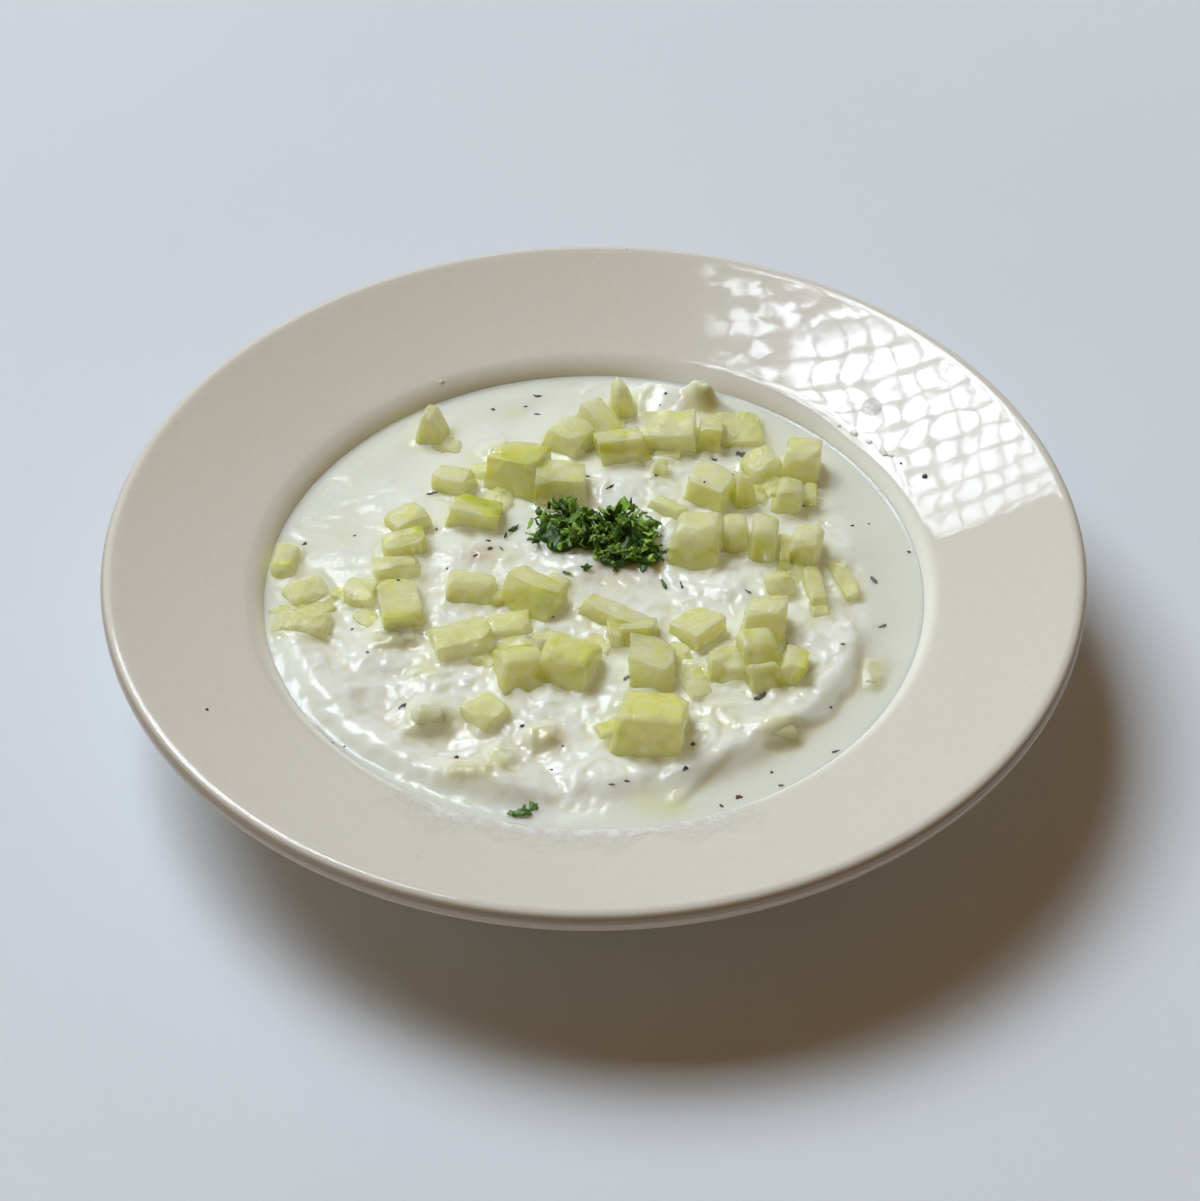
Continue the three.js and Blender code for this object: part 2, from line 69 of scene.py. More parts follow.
# Ridges left by the spoon: start and end angle, radius at both, height, width
# towards the middle, width towards the wall.
RIDGES = (
    (180, 268, 73.5, 66.5, 2.0, 6, 5.0),
    (-84, -8, 64, 63, 2.2, 9, 3.2),
    (60, 84, 72, 73, 2.4, 7, 3.5),
    (262, 284, 66, 62, 1.2, 5, 3.0),
)

# Outer edges of the thick yoghurt above the thin whey: angles, radii at them, the height
# of the edge and how wide its outer bank is.
CRESTS = (
    ((-79, -75, -69, -62, -55, -46, -40, -34, -27, -18, -10, -4),
     (73, 70.3, 66.5, 63.5, 62.4, 65.1, 67.5, 67.1, 67.1, 63.2, 58.9, 57), 0.8, 2.3),
    ((-176, -169, -153, -140, -131, -115, -102, -94),
     (75, 75.6, 75.4, 74.2, 72.4, 70.6, 68.6, 67), 1.1, 3.4),
)

# Curds and spoon marks: x, y, radius, height.
CURDS = (
    (-52, 34, 11, 1.0), (-60, 12, 8, 0.9), (-22, 62, 12, 0.7), (-58, -32, 9, 1.3),
    (-50, -24, 6, 0.9), (-40, -34, 6, 1.0), (-8, 8, 9, 1.4), (-30, 10, 7, 0.8),
    (0, -60, 7, 1.2), (-34, -52, 7, -1.0), (8, -36, 6, 0.9), (30, -44, 8, 1.2),
    (48, -20, 8, 1.0), (31, -2, 6, 1.2), (14, -1, 5, -0.8), (56, 12, 7, 0.9),
    (8, 34, 8, 1.1), (-20, -62, 8, 0.8), (60, 36, 9, 0.6), (20, 68, 8, 1.6),
)

# Cut cucumber: x, y, how far it stands out of the dip, length, width, height, turn
# about Z, pitch, roll, taper of length and width towards the top, crown of a side.
CUCUMBER = (
    (12.5, -49.4, 8.6, 16, 14.4, 15, -8, 4, -10, 0.24, 0.18, 1.0),
    (13.5, -31.2, 5.6, 10, 11.4, 12, -4, 0, -8, 0.06, 0.08, 0),
    (-6, -29.4, 6.2, 13, 12.4, 12, -22, 4, -16, 0.25, 0.3, 1.4),
    (-17.5, -30.6, 4.4, 10, 12, 10, 14, 6, -18, 0.2, 0.35, 1.2),
    (-14.5, -8, 6.4, 13, 8.4, 13, -34, 6, -22, 0.12, 0.3, 0),
    (4.6, -14.2, 3.8, 17, 4.6, 9, -30, -2, -10, 0.06, 0.1, 0),
    (10.8, -19.8, 4.0, 8, 6, 9, -6, 0, -10, 0.1, 0.1, 0),
    (24, -18, 4.0, 9.5, 9.5, 9, 42, 4, -10, 0.1, 0.1, 0),
    (30.5, -29.8, 3.2, 9.6, 9, 9, 8, 0, -12, 0.2, 0.25, 0.6),
    (22.4, -33.5, 1.6, 5.6, 10.5, 6, 24, 0, 0, 0.05, 0.05, 0),
    (39, -17, 7.2, 10, 9.6, 13, -6, 0, -6, 0.3, 0.35, 1.2),
    (38, -27, 6.8, 9, 8.6, 13, 12, -6, -10, 0.2, 0.2, 0.8),
    (38.6, -34.6, 4.6, 7, 5.4, 10, 20, 0, -22, 0.1, 0.3, 0.8),
    (44.4, -30.6, 4.8, 5.6, 9.5, 10, -14, 14, -8, 0.2, 0.3, 0),
    (-24.5, -43.2, 3.2, 8.4, 8.4, 8, 44, 0, -6, 0.14, 0.14, 0),
    (-37.5, -45, 3.6, 8.5, 6.4, 9, 10, 0, -10, 0.3, 0.3, 0.8),
    (-30.4, -21, 3.0, 13.6, 11, 9, 16, 4, -8, 0.12, 0.2, 0.8),
    (-19.5, -15.8, 2.0, 11, 7, 7, 4, 0, -4, 0.1, 0.2, 0.5),
    (-29, -4.4, 3.6, 12, 8.6, 9, -4, 0, -12, 0.3, 0.4, 1.0),
    (-45.2, -8.8, 4.2, 9.2, 14.6, 10, 10, 4, -4, 0.04, 0.06, 0),
    (-46, -18.2, 1.4, 9, 5, 6, 10, 0, 0, 0.1, 0.1, 0),
    (-54.4, -3.8, 2.6, 7.6, 8, 8, -12, -4, -4, 0.2, 0.2, 0.6),
    (-46, 3.6, 3.2, 10.5, 6.4, 8, 4, 0, -6, 0.1, 0.2, 0.6),
    (-45, 11.2, 3.6, 10, 6, 9, 10, -2, -8, 0.1, 0.2, 0),
    (-44, 19.6, 4.6, 9, 7.6, 10, 34, -8, -10, 0.2, 0.3, 0),
    (-67, -1.8, 1.6, 11, 10, 7, 30, 0, 0, 0.25, 0.3, 0.8),
    (-68.2, -12.8, 1.7, 14, 9.6, 7, -10, 0, 0, 0.2, 0.3, 1.0),
    (-73, 8.6, 2.6, 6.6, 10.6, 8, -6, 8, 0, 0.3, 0.2, 0.8),
    (-39.6, 54.6, 7.8, 10.4, 7.6, 13, -12, -6, -8, 0.75, 0.5, 0),
    (-33.6, 33.4, 4.8, 9, 7, 10, -26, -8, -10, 0.1, 0.3, 0),
    (-18.4, 35.4, 7.4, 13, 11, 14, -24, -2, -14, 0.2, 0.2, 0.6),
    (-29, 21.6, 4.6, 11.4, 7.4, 10, -8, 4, -8, 0.06, 0.1, 0),
    (-8, 31, 6.4, 11.5, 9.8, 13, -4, 0, -10, 0.06, 0.1, 0),
    (24, 10, 7.8, 12.5, 12.5, 14, -12, 0, -12, 0.35, 0.3, 1.6),
    (33.6, 13.4, 6.4, 6.2, 9, 12, 4, 0, -8, 0.2, 0.3, 0.8),
    (40.2, 11, 7.0, 6.2, 10, 13, -6, 4, -8, 0.1, 0.2, 0.8),
    (49.6, 9.4, 6.4, 7.8, 10, 12, -16, 10, -8, 0.25, 0.3, 0.8),
    (51.6, -3, 2.6, 4.4, 12, 8, 8, 4, -4, 0.2, 0.1, 0.6),
    (43.6, -2.4, 3.4, 7.4, 7, 8, 10, 0, -6, 0.3, 0.3, 0.8),
    (58.6, 0.8, 1.8, 4, 12, 6, 20, 0, 0, 0.1, 0.1, 0),
    (27.8, 28.8, 6.8, 10, 8.4, 13, -30, 0, -8, 0.1, 0.14, 0),
    (36, 28.2, 7.4, 6.8, 5.6, 13, 14, 0, -16, 0.6, 0.2, 0),
    (41, 39.6, 4.8, 9, 9.4, 10, 20, 0, -8, 0.2, 0.2, 0.6),
    (50.4, 40.2, 7.6, 9, 9.4, 13, -12, 4, -8, 0.3, 0.3, 1.0),
    (46.6, 28.2, 5.4, 6.8, 10, 10, -8, 6, -10, 0.2, 0.2, 0.6),
    (36.4, 54.6, 2.4, 10.4, 11, 7, 8, 0, -4, 0.1, 0.1, 0),
    (18.6, 51.2, 6.0, 12.4, 9, 12, -3, 0, -6, 0.04, 0.08, 0),
    (28, 50.8, 6.0, 5.2, 9, 12, -4, 2, -6, 0.06, 0.1, 0),
    (7.2, 45.4, 5.8, 12.6, 9.6, 11, 12, 0, -12, 0.25, 0.3, 0),
    (-6.6, 49.6, 5.4, 9, 9, 12, -36, 0, -8, 0.1, 0.1, 0),
    (1.4, 53.6, 7.0, 12.6, 5.4, 12, -57, 14, 0, 0.06, 0.06, 0),
    (7.4, 64, 8.6, 9, 7.6, 14, 10, 0, -10, 0.7, 0.5, 0.8),
)

# Smaller scraps of cucumber: the same values.
SCRAPS = (
    (3.4, -48.4, 1.8, 6, 4.6, 5, 20, 0, 0, 0.2, 0.2, 0),
    (5.2, -19.6, 3.0, 3.6, 6.4, 7, 8, 0, -6, 0.1, 0.1, 0),
    (-27, -61.6, 1.8, 9, 3.8, 5, -10, 0, 0, 0.1, 0.2, 0.4),
    (-21.4, -58.4, 2.6, 3.4, 7.4, 6, -6, 0, 0, 0.2, 0.2, 0),
    (-12, -51, 2.4, 4.6, 4, 6, 20, 0, 0, 0.3, 0.3, 0.4),
    (41.6, -49.6, 1.8, 7, 4.6, 5, 14, 0, 0, 0.2, 0.3, 0.4),
    (64, -29.4, 0.9, 2.8, 8, 4, -10, 0, 0, 0.3, 0.3, 0),
    (18, 44.6, 1.4, 6.6, 2.8, 4, -12, 0, 0, 0.1, 0.1, 0),
    (16, 38, 2.6, 3.4, 3.8, 6, -6, 0, 0, 0.2, 0.2, 0),
    (52.4, 30, 3.6, 3, 6.4, 7, -6, 0, 0, 0.2, 0.2, 0),
    (17.2, 24.2, 2.6, 8.6, 4.2, 6, -36, 0, -10, 0.1, 0.2, 0),
    (45, 6.8, 4.4, 2.6, 8, 7, -4, 0, 0, 0.1, 0.1, 0),
    (52.6, -10.6, 1.6, 4.6, 3.6, 5, 10, 0, 0, 0.3, 0.3, 0.4),
    (-27.4, 38.4, 2.0, 5.4, 5, 6, 10, 0, 0, 0.2, 0.2, 0),
    (-8.2, -2.4, 2.4, 5, 4.6, 6, -20, 0, 0, 0.2, 0.2, 0),
    (-21.4, -6.6, 1.8, 5.4, 4, 5, 10, 0, 0, 0.2, 0.2, 0),
    (-23.4, 46.6, 2.2, 4.6, 4, 6, 10, 0, 0, 0.3, 0.3, 0.4),
    (27.2, 65.6, 6.2, 3.6, 4.6, 10, 6, 0, -8, 0.4, 0.3, 0.6),
)

# How a piece was cut from the cucumber.  Its green side, next to the peel, is given as
# a direction in the piece's own axes; round ones have edges worn to that share of their
# half width; seedy pieces come from the middle; yellow ones are ripe, and ripe ones are
# deep in colour right through; coated ones are smeared with yoghurt.  Numbers count the
# rows of CUCUMBER (or of SCRAPS) from 1.
GREEN_SIDES = {
    1: (0.1, -0.5, -0.9), 3: (0.9, -0.4, -0.1), 4: (0.3, 0.9, 0.4), 5: (0.5, -1, -0.4),
    12: (0.2, -0.6, -0.4), 14: (0.8, -0.2, 0), 20: (0, -1, -0.2), 24: (0.9, 0.3, 0),
    28: (0.1, -1, 0.1), 30: (-0.2, 0.8, -0.3), 31: (0.7, -0.5, 0.5), 32: (0.6, 0.4, 0.8),
    34: (0.2, -0.9, -0.6), 36: (0, -0.8, -0.4), 46: (0.5, 0.5, 0), 51: (0.9, 0.2, -0.2),
}
ROUND = {
    1: 0.25, 3: 0.30, 4: 0.20, 12: 0.40, 13: 0.35, 16: 0.6, 19: 0.35, 26: 0.7, 27: 0.7, 28: 0.6,
    29: 0.5, 34: 0.34, 35: 0.6, 36: 0.5, 37: 0.55, 38: 0.3, 39: 0.7, 43: 0.6, 45: 0.6, 52: 0.8,
}
SEEDY = (2, 8, 9, 10, 13, 17, 26, 27, 29, 33, 37, 38, 40, 43, 45, 46, 50)
YELLOW = (4, 8, 15, 17, 18, 19, 26, 27, 38, 39, 40, 46)
RIPE = (1, 3, 31)
COATED = (16, 21)
COATED_SCRAPS = (3, 4, 5, 6, 7, 17, 18)
COAT_MARGIN = 0.8         # a coat reaches this far past its piece
COAT_BEHIND = 0.5         # and lies this far behind it
THIN_BELOW = 3.4          # a piece that stands out less than this is thin and clearer
NEARBY = 22.0             # a piece tells on the dip no further than this from its middle

SWELL = 1.07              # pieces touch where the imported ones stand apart

# Warm stains of spice in the yoghurt: x, y, radius, strength.
STAINS = (
    (-28, 8, 3.2, 0.5), (-25, 10, 2.0, 0.4), (4, 2, 4.0, 0.35), (9, 3, 3.0, 0.3),
    (-9, -52, 3.6, 0.4),
)

# Pieces sunk in the dip, seen only as a tint: x, y, radius, strength.
SUNK = (
    (-38, -29, 4.5, 0.55), (-20, 63, 3, 0.4), (-21, 8, 5, 0.3), (18, -9, 4, 0.3),
    (29, -44, 7, 0.4), (12, -69, 4, 0.5), (17, -69.5, 4, 0.6), (50, -14, 3, 0.4),
    (54, 22, 3, 0.4), (-59, 17, 4, 0.3), (-30, 45, 4, 0.3), (6, -3, 5, 0.25),
)


# ---- numpy helpers ----------------------------------------------------------------


def smooth_step(low, high, value):
    """0 below low, 1 above high, and 3t2 - 2t3 in between; low may lie over high."""
    t = np.clip((value - low) / (high - low), 0, 1)
    return t * t * (3 - 2 * t)


def spot(x, y, centre_x, centre_y, radius):
    """A soft round spot: e to the minus squared distance over the squared radius."""
    return np.exp(-((x - centre_x) ** 2 + (y - centre_y) ** 2) / radius ** 2)


def blend(tone, towards, share):
    """Colours moved by a share of the way, one a point, towards another colour."""
    return tone + (np.asarray(towards) - tone) * np.asarray(share)[..., None]


def noise(points, size, seed):
    """Rolling noise, about -1 to 1, in 2 or 3 dimensions: every corner of a lattice of
    cells of that size has a random slope, and the slopes' heights are blended inside a
    cell by 6t5 - 15t4 + 10t3."""
    points = np.asarray(points, float)
    random = np.random.default_rng(seed)
    order = random.permutation(256)
    slopes = random.normal(size=(256, points.shape[-1]))
    slopes /= np.linalg.norm(slopes, axis=1, keepdims=True)
    place = points / size
    cell = np.floor(place).astype(int)
    inside = place - cell
    ease = inside ** 3 * (inside * (inside * 6 - 15) + 10)
    total = np.zeros(points.shape[:-1])
    for corner in np.ndindex(*(2,) * points.shape[-1]):
        key = np.zeros(points.shape[:-1], int)
        for axis, step in enumerate(corner):
            key = order[(key + cell[..., axis] + step) & 255]
        reach = np.prod(np.where(np.array(corner) == 1, ease, 1 - ease), axis=-1)
        total += reach * np.sum(slopes[key] * (inside - corner), axis=-1)
    return total * 1.7


def turns(heading, pitch, roll):
    """Rotation matrices Rz(heading) Ry(pitch) Rx(roll) for arrays of degrees."""
    a, b, c = np.radians(np.broadcast_arrays(heading, pitch, roll))
    ca, sa, cb, sb, cc, sc = np.cos(a), np.sin(a), np.cos(b), np.sin(b), np.cos(c), np.sin(c)
    rows = (
        (ca * cb, ca * sb * sc - sa * cc, ca * sb * cc + sa * sc),
        (sa * cb, sa * sb * sc + ca * cc, sa * sb * cc - ca * sc),
        (-sb, cb * sc, cb * cc),
    )
    return np.stack([np.stack(row, -1) for row in rows], -2)


def grid_quads(rows, columns, round_columns=False):
    """Corner numbers of the quads of a grid whose points are counted row by row.  Round
    columns close on themselves."""
    steps = columns if round_columns else columns - 1
    i, j = np.meshgrid(np.arange(rows - 1) * columns, np.arange(steps), indexing="ij")
    next_i, next_j = i + columns, (j + 1) % columns
    return np.stack([i + j, next_i + j, next_i + next_j, i + next_j], -1).reshape(-1, 4)


def on_rings(radius, height, angle):
    """Points at (radius cos angle, radius sin angle, height)."""
    return np.stack([radius * np.cos(angle), radius * np.sin(angle), height + 0 * angle], -1)


def ring_faces(rings, steps):
    """Quads between rings of so many steps, top ring first, and the triangles that close
    the first and the last ring on the two points that follow all the rings."""
    here, there = np.arange(steps), (np.arange(steps) + 1) % steps
    end, last = rings * steps, (rings - 1) * steps
    caps = np.concatenate([
        np.stack([np.full(steps, end), here, there], -1),
        np.stack([np.full(steps, end + 1), last + there, last + here], -1),
    ])
    return grid_quads(rings, steps, round_columns=True), caps


def lay_mesh(name, points, faces, values=(), colours=(), vectors=()):
    """A smooth mesh object from points in millimetres and arrays of faces, with named
    attributes of one number, one colour or one vector a point."""
    faces = [np.asarray(part, np.int32) for part in faces]
    corners = np.concatenate([part.ravel() for part in faces])
    sizes = np.concatenate([np.full(len(part), part.shape[1]) for part in faces])
    mesh = bpy.data.meshes.new(name)
    mesh.vertices.add(len(points))
    mesh.vertices.foreach_set("co", (np.asarray(points) * MM).astype(np.float32).ravel())
    mesh.loops.add(len(corners))
    mesh.loops.foreach_set("vertex_index", corners)
    mesh.polygons.add(len(sizes))
    mesh.polygons.foreach_set("loop_start", (np.cumsum(sizes) - sizes).astype(np.int32))
    mesh.update(calc_edges=True)
    mesh.validate()
    for given, kind, field in (
        (values, "FLOAT", "value"), (colours, "FLOAT_COLOR", "color"),
        (vectors, "FLOAT_VECTOR", "vector"),
    ):
        for label, data in dict(given).items():
            if kind == "FLOAT_COLOR":
                data = np.concatenate([data, np.ones((len(data), 1))], axis=1)
            layer = mesh.attributes.new(label, kind, "POINT")
            layer.data.foreach_set(field, np.asarray(data, np.float32).ravel())
    mesh.shade_smooth()
    piece = bpy.data.objects.new(name, mesh)
    bpy.context.scene.collection.objects.link(piece)
    return piece


def joined(parts):
    """One set of points and faces from those of many parts: (points, quads, caps) each."""
    starts = np.cumsum([0] + [len(part[0]) for part in parts])
    faces = [part[kind] + start for kind in (1, 2) for part, start in zip(parts, starts)]
    return np.concatenate([part[0] for part in parts]), faces


def serve(piece, finish, slot, *nodes):
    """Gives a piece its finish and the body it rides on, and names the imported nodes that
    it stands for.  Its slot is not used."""
    piece.data.materials.append(finish)
    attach(piece, "root")
    if nodes:
        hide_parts(*nodes)


# ---- finishes ---------------------------------------------------------------------


class Nodes:
    """A node tree.  add() makes a node, sets its sockets by name, and links those that
    are given as another node's output."""

    def __init__(self, tree):
        self.tree = tree

    def put(self, socket, value):
        if isinstance(value, bpy.types.NodeSocket):
            self.tree.links.new(value, socket)
        else:
            socket.default_value = value

    def add(self, kind, settings=(), **sockets):
        made = self.tree.nodes.new(kind)
        for key, value in dict(settings).items():
            setattr(made, key, value)
        for key, value in sockets.items():
            self.put(made.inputs[key.replace("_", " ")], value)
        return made

    def cloud(self, where, size, detail=2.0, rough=0.5, warp=0.0):
        """Noise from 0 to 1 with lumps of that size."""
        made = self.add(
            "ShaderNodeTexNoise", Vector=where, Scale=1 / size, Detail=detail,
            Roughness=rough, Distortion=warp,
        )
        return made.outputs["Fac"]

    def ramp(self, value, low, high, start=0.0, end=1.0):
        """Takes value from low..high to start..end, as smooth_step does."""
        kind = {"interpolation_type": "SMOOTHSTEP", "clamp": True}
        made = self.add("ShaderNodeMapRange", kind, Value=value)
        ends = {"From Min": low, "From Max": high, "To Min": start, "To Max": end}
        for key, number in ends.items():
            made.inputs[key].default_value = number
        return made.outputs["Result"]

    def math(self, operation, *numbers):
        made = self.add("ShaderNodeMath", {"operation": operation})
        for socket, number in zip(made.inputs, numbers):
            self.put(socket, number)
        return made.outputs["Value"]

    def product(self, first, *others):
        for other in others:
            first = self.math("MULTIPLY", first, other)
        return first


class SkylightPattern(Nodes):
    """Brightness over the skylight, whose own coordinates run from 0 to 1: panes of even
    light between wavering bars, foliage where Y is low, and light that fades towards the
    far ends of X and Y and breaks up into patches at that of X."""

    def brightness(self):
        place = self.add("ShaderNodeNewGeometry").outputs["Parametric"]
        waver = self.add("ShaderNodeTexNoise", Vector=place, Scale=9.0, Detail=1.0)
        bent = self.add("ShaderNodeVectorMath", {"operation": "MULTIPLY_ADD"})
        self.put(bent.inputs[0], waver.outputs["Color"])
        self.put(bent.inputs[1], (BAR_WAVER, BAR_WAVER, 0.0))
        self.put(bent.inputs[2], place)
        lattice = self.add("ShaderNodeSeparateXYZ", Vector=bent.outputs["Vector"])
        ragged_bars_and_edge_shade = self.ramp(self.cloud(place, 0.03, 1), 0.3, 0.7, -0.05, 0.05)
        panes = []
        for axis, count in zip("XY", WINDOW_PANES):
            from_bar = self.math("PINGPONG", self.product(lattice.outputs[axis], count), 0.5)
            panes.append(self.ramp(self.math("ADD", from_bar, ragged_bars_and_edge_shade), *BAR_EDGE, BAR_LIGHT))
        plain = self.add("ShaderNodeSeparateXYZ", Vector=place)
        across, back = plain.outputs["X"], plain.outputs["Y"]
        foliage = self.ramp(self.cloud(place, 0.045, 2), 0.47, 0.53)
        sky = self.math("MAXIMUM", self.ramp(back, 0.18, 0.32), foliage)
        inside = self.ramp(across, 1.0, 0.74)
        leaves = self.ramp(foliage, 0, 1, -0.2, 0.25)
        broken = self.ramp(self.math("ADD", inside, leaves), 0.42, 0.60)
        fading = self.product(
            self.ramp(back, 1.0, 0.35, 0.42, 1.0), self.ramp(across, 1.0, 0.72, 0.40, 1.0)
        )
        clear = self.product(*panes, sky, broken, fading)
        return self.math("MULTIPLY_ADD", clear, 1 - HAZE, self.product(inside, HAZE))


class Finish(Nodes):
    """A material with its nodes."""

    def __init__(self, name):
        self.material = bpy.data.materials.new(name)
        self.material.use_nodes = True
        super().__init__(self.material.node_tree)
        self.shader = self.tree.nodes["Principled BSDF"]

    def shade(self, **sockets):
        for key, value in sockets.items():
            self.put(self.shader.inputs[key.replace("_", " ")], value)

    def place(self):
        """Object coordinates in millimetres."""
        coordinates = self.add("ShaderNodeTexCoord").outputs["Object"]
        scale = (1 / MM, 1 / MM, 1 / MM)
        return self.add("ShaderNodeMapping", Vector=coordinates, Scale=scale).outputs["Vector"]

    def attribute(self, name, output="Fac"):
        return self.add("ShaderNodeAttribute", {"attribute_name": name}).outputs[output]

    def mix(self, share, a, b, mode="MIX"):
        """Colour a passing into colour b."""
        made = self.add("ShaderNodeMix", {"data_type": "RGBA", "blend_type": mode})
        self.put(made.inputs[0], share)
        self.put(made.inputs[6], a)
        self.put(made.inputs[7], b)
        return made.outputs[2]

    def bump(self, height, depth, under=None):
        """Relief of that depth in millimetres where height goes from 0 to 1."""
        made = self.add("ShaderNodeBump", Height=height, Distance=depth * MM, Strength=1.0)
        if under is not None:
            self.put(made.inputs["Normal"], under)
        return made.outputs["Normal"]

    def patches(self, body, cloud, low, high, share, colour, mode="MIX"):
        """Colour body, with up to that share of another colour as cloud goes from low to
        high."""
        return self.mix(self.ramp(cloud, low, high, 0, share), body, colour, mode)

    def centred(self, cloud, *masks):
        """Cloud set about 0 and held back by masks, as a height that has no steps."""
        return self.product(self.math("SUBTRACT", cloud, 0.5), *masks)

    def let_light_in(self, depth, colours, weight=1.0):
        """Light goes that many millimetres into the piece, times a share a colour."""
        self.shade(Subsurface_Weight=weight, Subsurface_Scale=depth * MM)
        self.shade(Subsurface_Radius=colours)


def rgb(red, green, blue):
    return (red, green, blue, 1.0)


def china_finish():
    """Cream china under a clear glaze that is slightly wavy and has a few pinholes.  Next to
    the dip it has a cloudy film of yoghurt, made lighter as painted light on the shaded
    wall, less so at the back; under the rolled edge it is darkened by painted shade."""
    china = Finish("glazed cream china")
    where = china.place()
    split = china.add("ShaderNodeSeparateXYZ", Vector=where)
    x, y, height = (split.outputs[axis] for axis in "XYZ")
    radius = china.math("SQRT", china.math("MULTIPLY_ADD", y, y, china.product(x, x)))
    tint = china.cloud(where, 40, 3)
    body = china.mix(tint, rgb(0.728, 0.686, 0.584), rgb(0.755, 0.716, 0.617))
    fine = china.cloud(where, 1.6, 2)
    body = china.patches(body, fine, 0.35, 0.8, 0.35, rgb(0.68, 0.64, 0.545))
    holes = china.add("ShaderNodeTexVoronoi", {"feature": "F1"}, Vector=where, Scale=1 / 17)
    pinholes = china.ramp(holes.outputs["Distance"], 0.012, 0.028, 0.75, 0)
    body = china.mix(pinholes, body, rgb(0.22, 0.15, 0.10))
    # a cloudy film of yoghurt next to the dip, partly painted light that lifts the shade on the
    # well's wall; weaker at the back
    milky_film_and_painted_light = china.product(china.ramp(radius, 81.5, 78.6), china.ramp(y, 72, 45, 0.3, 0.95))
    body = china.mix(milky_film_and_painted_light, body, rgb(0.90, 0.89, 0.78))
    # painted shade under the rolled edge: a dark band that is lighter lower down, multiplied
    # into the glaze
    edge = china.product(china.ramp(radius, 112.6, 113.4), china.ramp(height, 37.9, 37.0))
    under = china.ramp(height, 35.8, 34.8)
    ragged_bars_and_edge_shade = china.mix(under, rgb(0.56, 0.50, 0.44), rgb(0.84, 0.78, 0.71))
    body = china.mix(edge, body, ragged_bars_and_edge_shade, "MULTIPLY")
    normal = china.bump(china.cloud(where, 9, 1.5), 0.04)
    normal = china.bump(china.cloud(where, 0.7, 1), 0.0012, under=normal)
    china.shade(Base_Color=body, Normal=normal, Roughness=0.035, IOR=1.43)
    return china.material


def yoghurt_finish(name, depth):
    """Wet thick yoghurt: light goes depth millimetres into it, its tone comes from the
    mesh, soft ripples lie where it is lumpy, and fine curds break its gloss."""
    yoghurt = Finish(name)
    where = yoghurt.place()
    body = yoghurt.patches(
        yoghurt.attribute("tone", "Color"), yoghurt.cloud(where, 14, 3), 0.3, 0.7, 0.4,
        rgb(0.97, 0.97, 0.94), "MULTIPLY",
    )
    wet = yoghurt.ramp(yoghurt.cloud(where, 7, 2), 0.40, 0.54, 0.15, 1.0)
    lumpy = yoghurt.attribute("lumpy")
    ripples = yoghurt.centred(yoghurt.cloud(where, 4.2, 1, 0.45, 0.4), wet, lumpy)
    curds = yoghurt.centred(yoghurt.cloud(where, 0.9, 2), wet)
    normal = yoghurt.bump(curds, 0.09, under=yoghurt.bump(ripples, 1.05))
    yoghurt.shade(Base_Color=body, Normal=normal, Roughness=0.06, IOR=1.37)
    yoghurt.let_light_in(depth, (1.0, 0.95, 0.8))
    return yoghurt.material


def cucumber_finish(name, depth, clear):
    """Wet cucumber flesh: light goes depth millimetres into it, and a share passes clear.
    On its own tone lie cloudy patches, fibres along its grain, pockets where it is seedy
    and yoghurt where it is coated."""
    flesh = Finish(name)
    grain = flesh.attribute("grain", "Vector")
    along = flesh.add("ShaderNodeMapping", Vector=grain, Scale=(0.30, 1.2, 1.2))
    fibre = flesh.cloud(along.outputs["Vector"], 1.6, 3, 0.6, 0.3)
    inner = flesh.cloud(grain, 3.6, 2, 0.5, 0.6)
    tone, cloudy = flesh.attribute("tone", "Color"), rgb(0.94, 0.94, 0.60)
    body = flesh.patches(tone, inner, 0.45, 0.75, 0.30, cloudy)
    body = flesh.patches(body, inner, 0.50, 0.25, 0.5, rgb(0.94, 0.92, 0.50), "MULTIPLY")
    body = flesh.patches(body, fibre, 0.50, 0.75, 0.16, cloudy)
    pockets = flesh.ramp(flesh.cloud(grain, 1.7, 2, 0.5, 0.6), 0.38, 0.66)
    seeded = flesh.product(pockets, flesh.attribute("seedy"))
    body = flesh.mix(flesh.product(seeded, 0.30), body, rgb(0.95, 0.93, 0.60))
    body = flesh.mix(flesh.attribute("coat"), body, rgb(0.88, 0.89, 0.78))
    glint = flesh.ramp(flesh.cloud(grain, 2.8, 1), 0.46, 0.55, 0.05, 1.0)
    knots = flesh.centred(flesh.cloud(grain, 1.3, 0), glint)
    normal = flesh.bump(knots, 0.25, under=flesh.bump(seeded, 0.16))
    dull = flesh.ramp(glint, 0.06, 1.0, 0.13, 0.04)
    flesh.shade(Base_Color=body, Normal=normal, Roughness=dull, IOR=1.35, Alpha=1 - clear)
    flesh.let_light_in(depth, (1.0, 0.97, 0.50))
    return flesh.material


def parsley_finish():
    """Chopped parsley: deep green to lighter green by each leaf's tone, mottled."""
    leaf = Finish("chopped parsley")
    where = leaf.place()
    mottle = leaf.ramp(leaf.cloud(where, 0.8, 3, 0.6), 0.25, 0.75, -0.18, 0.18)
    tone = leaf.ramp(leaf.math("ADD", leaf.attribute("leaf_tone"), mottle), 0, 1)
    body = leaf.mix(tone, rgb(0.040, 0.108, 0.014), rgb(0.390, 0.620, 0.095))
    normal = leaf.bump(leaf.cloud(where, 0.5, 2), 0.12)
    leaf.shade(Base_Color=body, Normal=normal, Roughness=0.38, IOR=1.38)
    leaf.let_light_in(0.4, (0.4, 1.0, 0.2), 0.15)
    return leaf.material


def herb_finish():
    """Dried mint and pepper: near black, greyish or reddish, crumpled."""
    herb = Finish("dried herbs")
    crumple = herb.cloud(herb.place(), 0.35, 3, 0.7)
    tone = herb.attribute("tone", "Color")
    body = herb.patches(tone, crumple, 0.3, 0.7, 1.0, rgb(0.55, 0.55, 0.5), "MULTIPLY")
    herb.shade(Base_Color=body, Normal=herb.bump(crumple, 0.15), Roughness=0.45, IOR=1.4)
    return herb.material


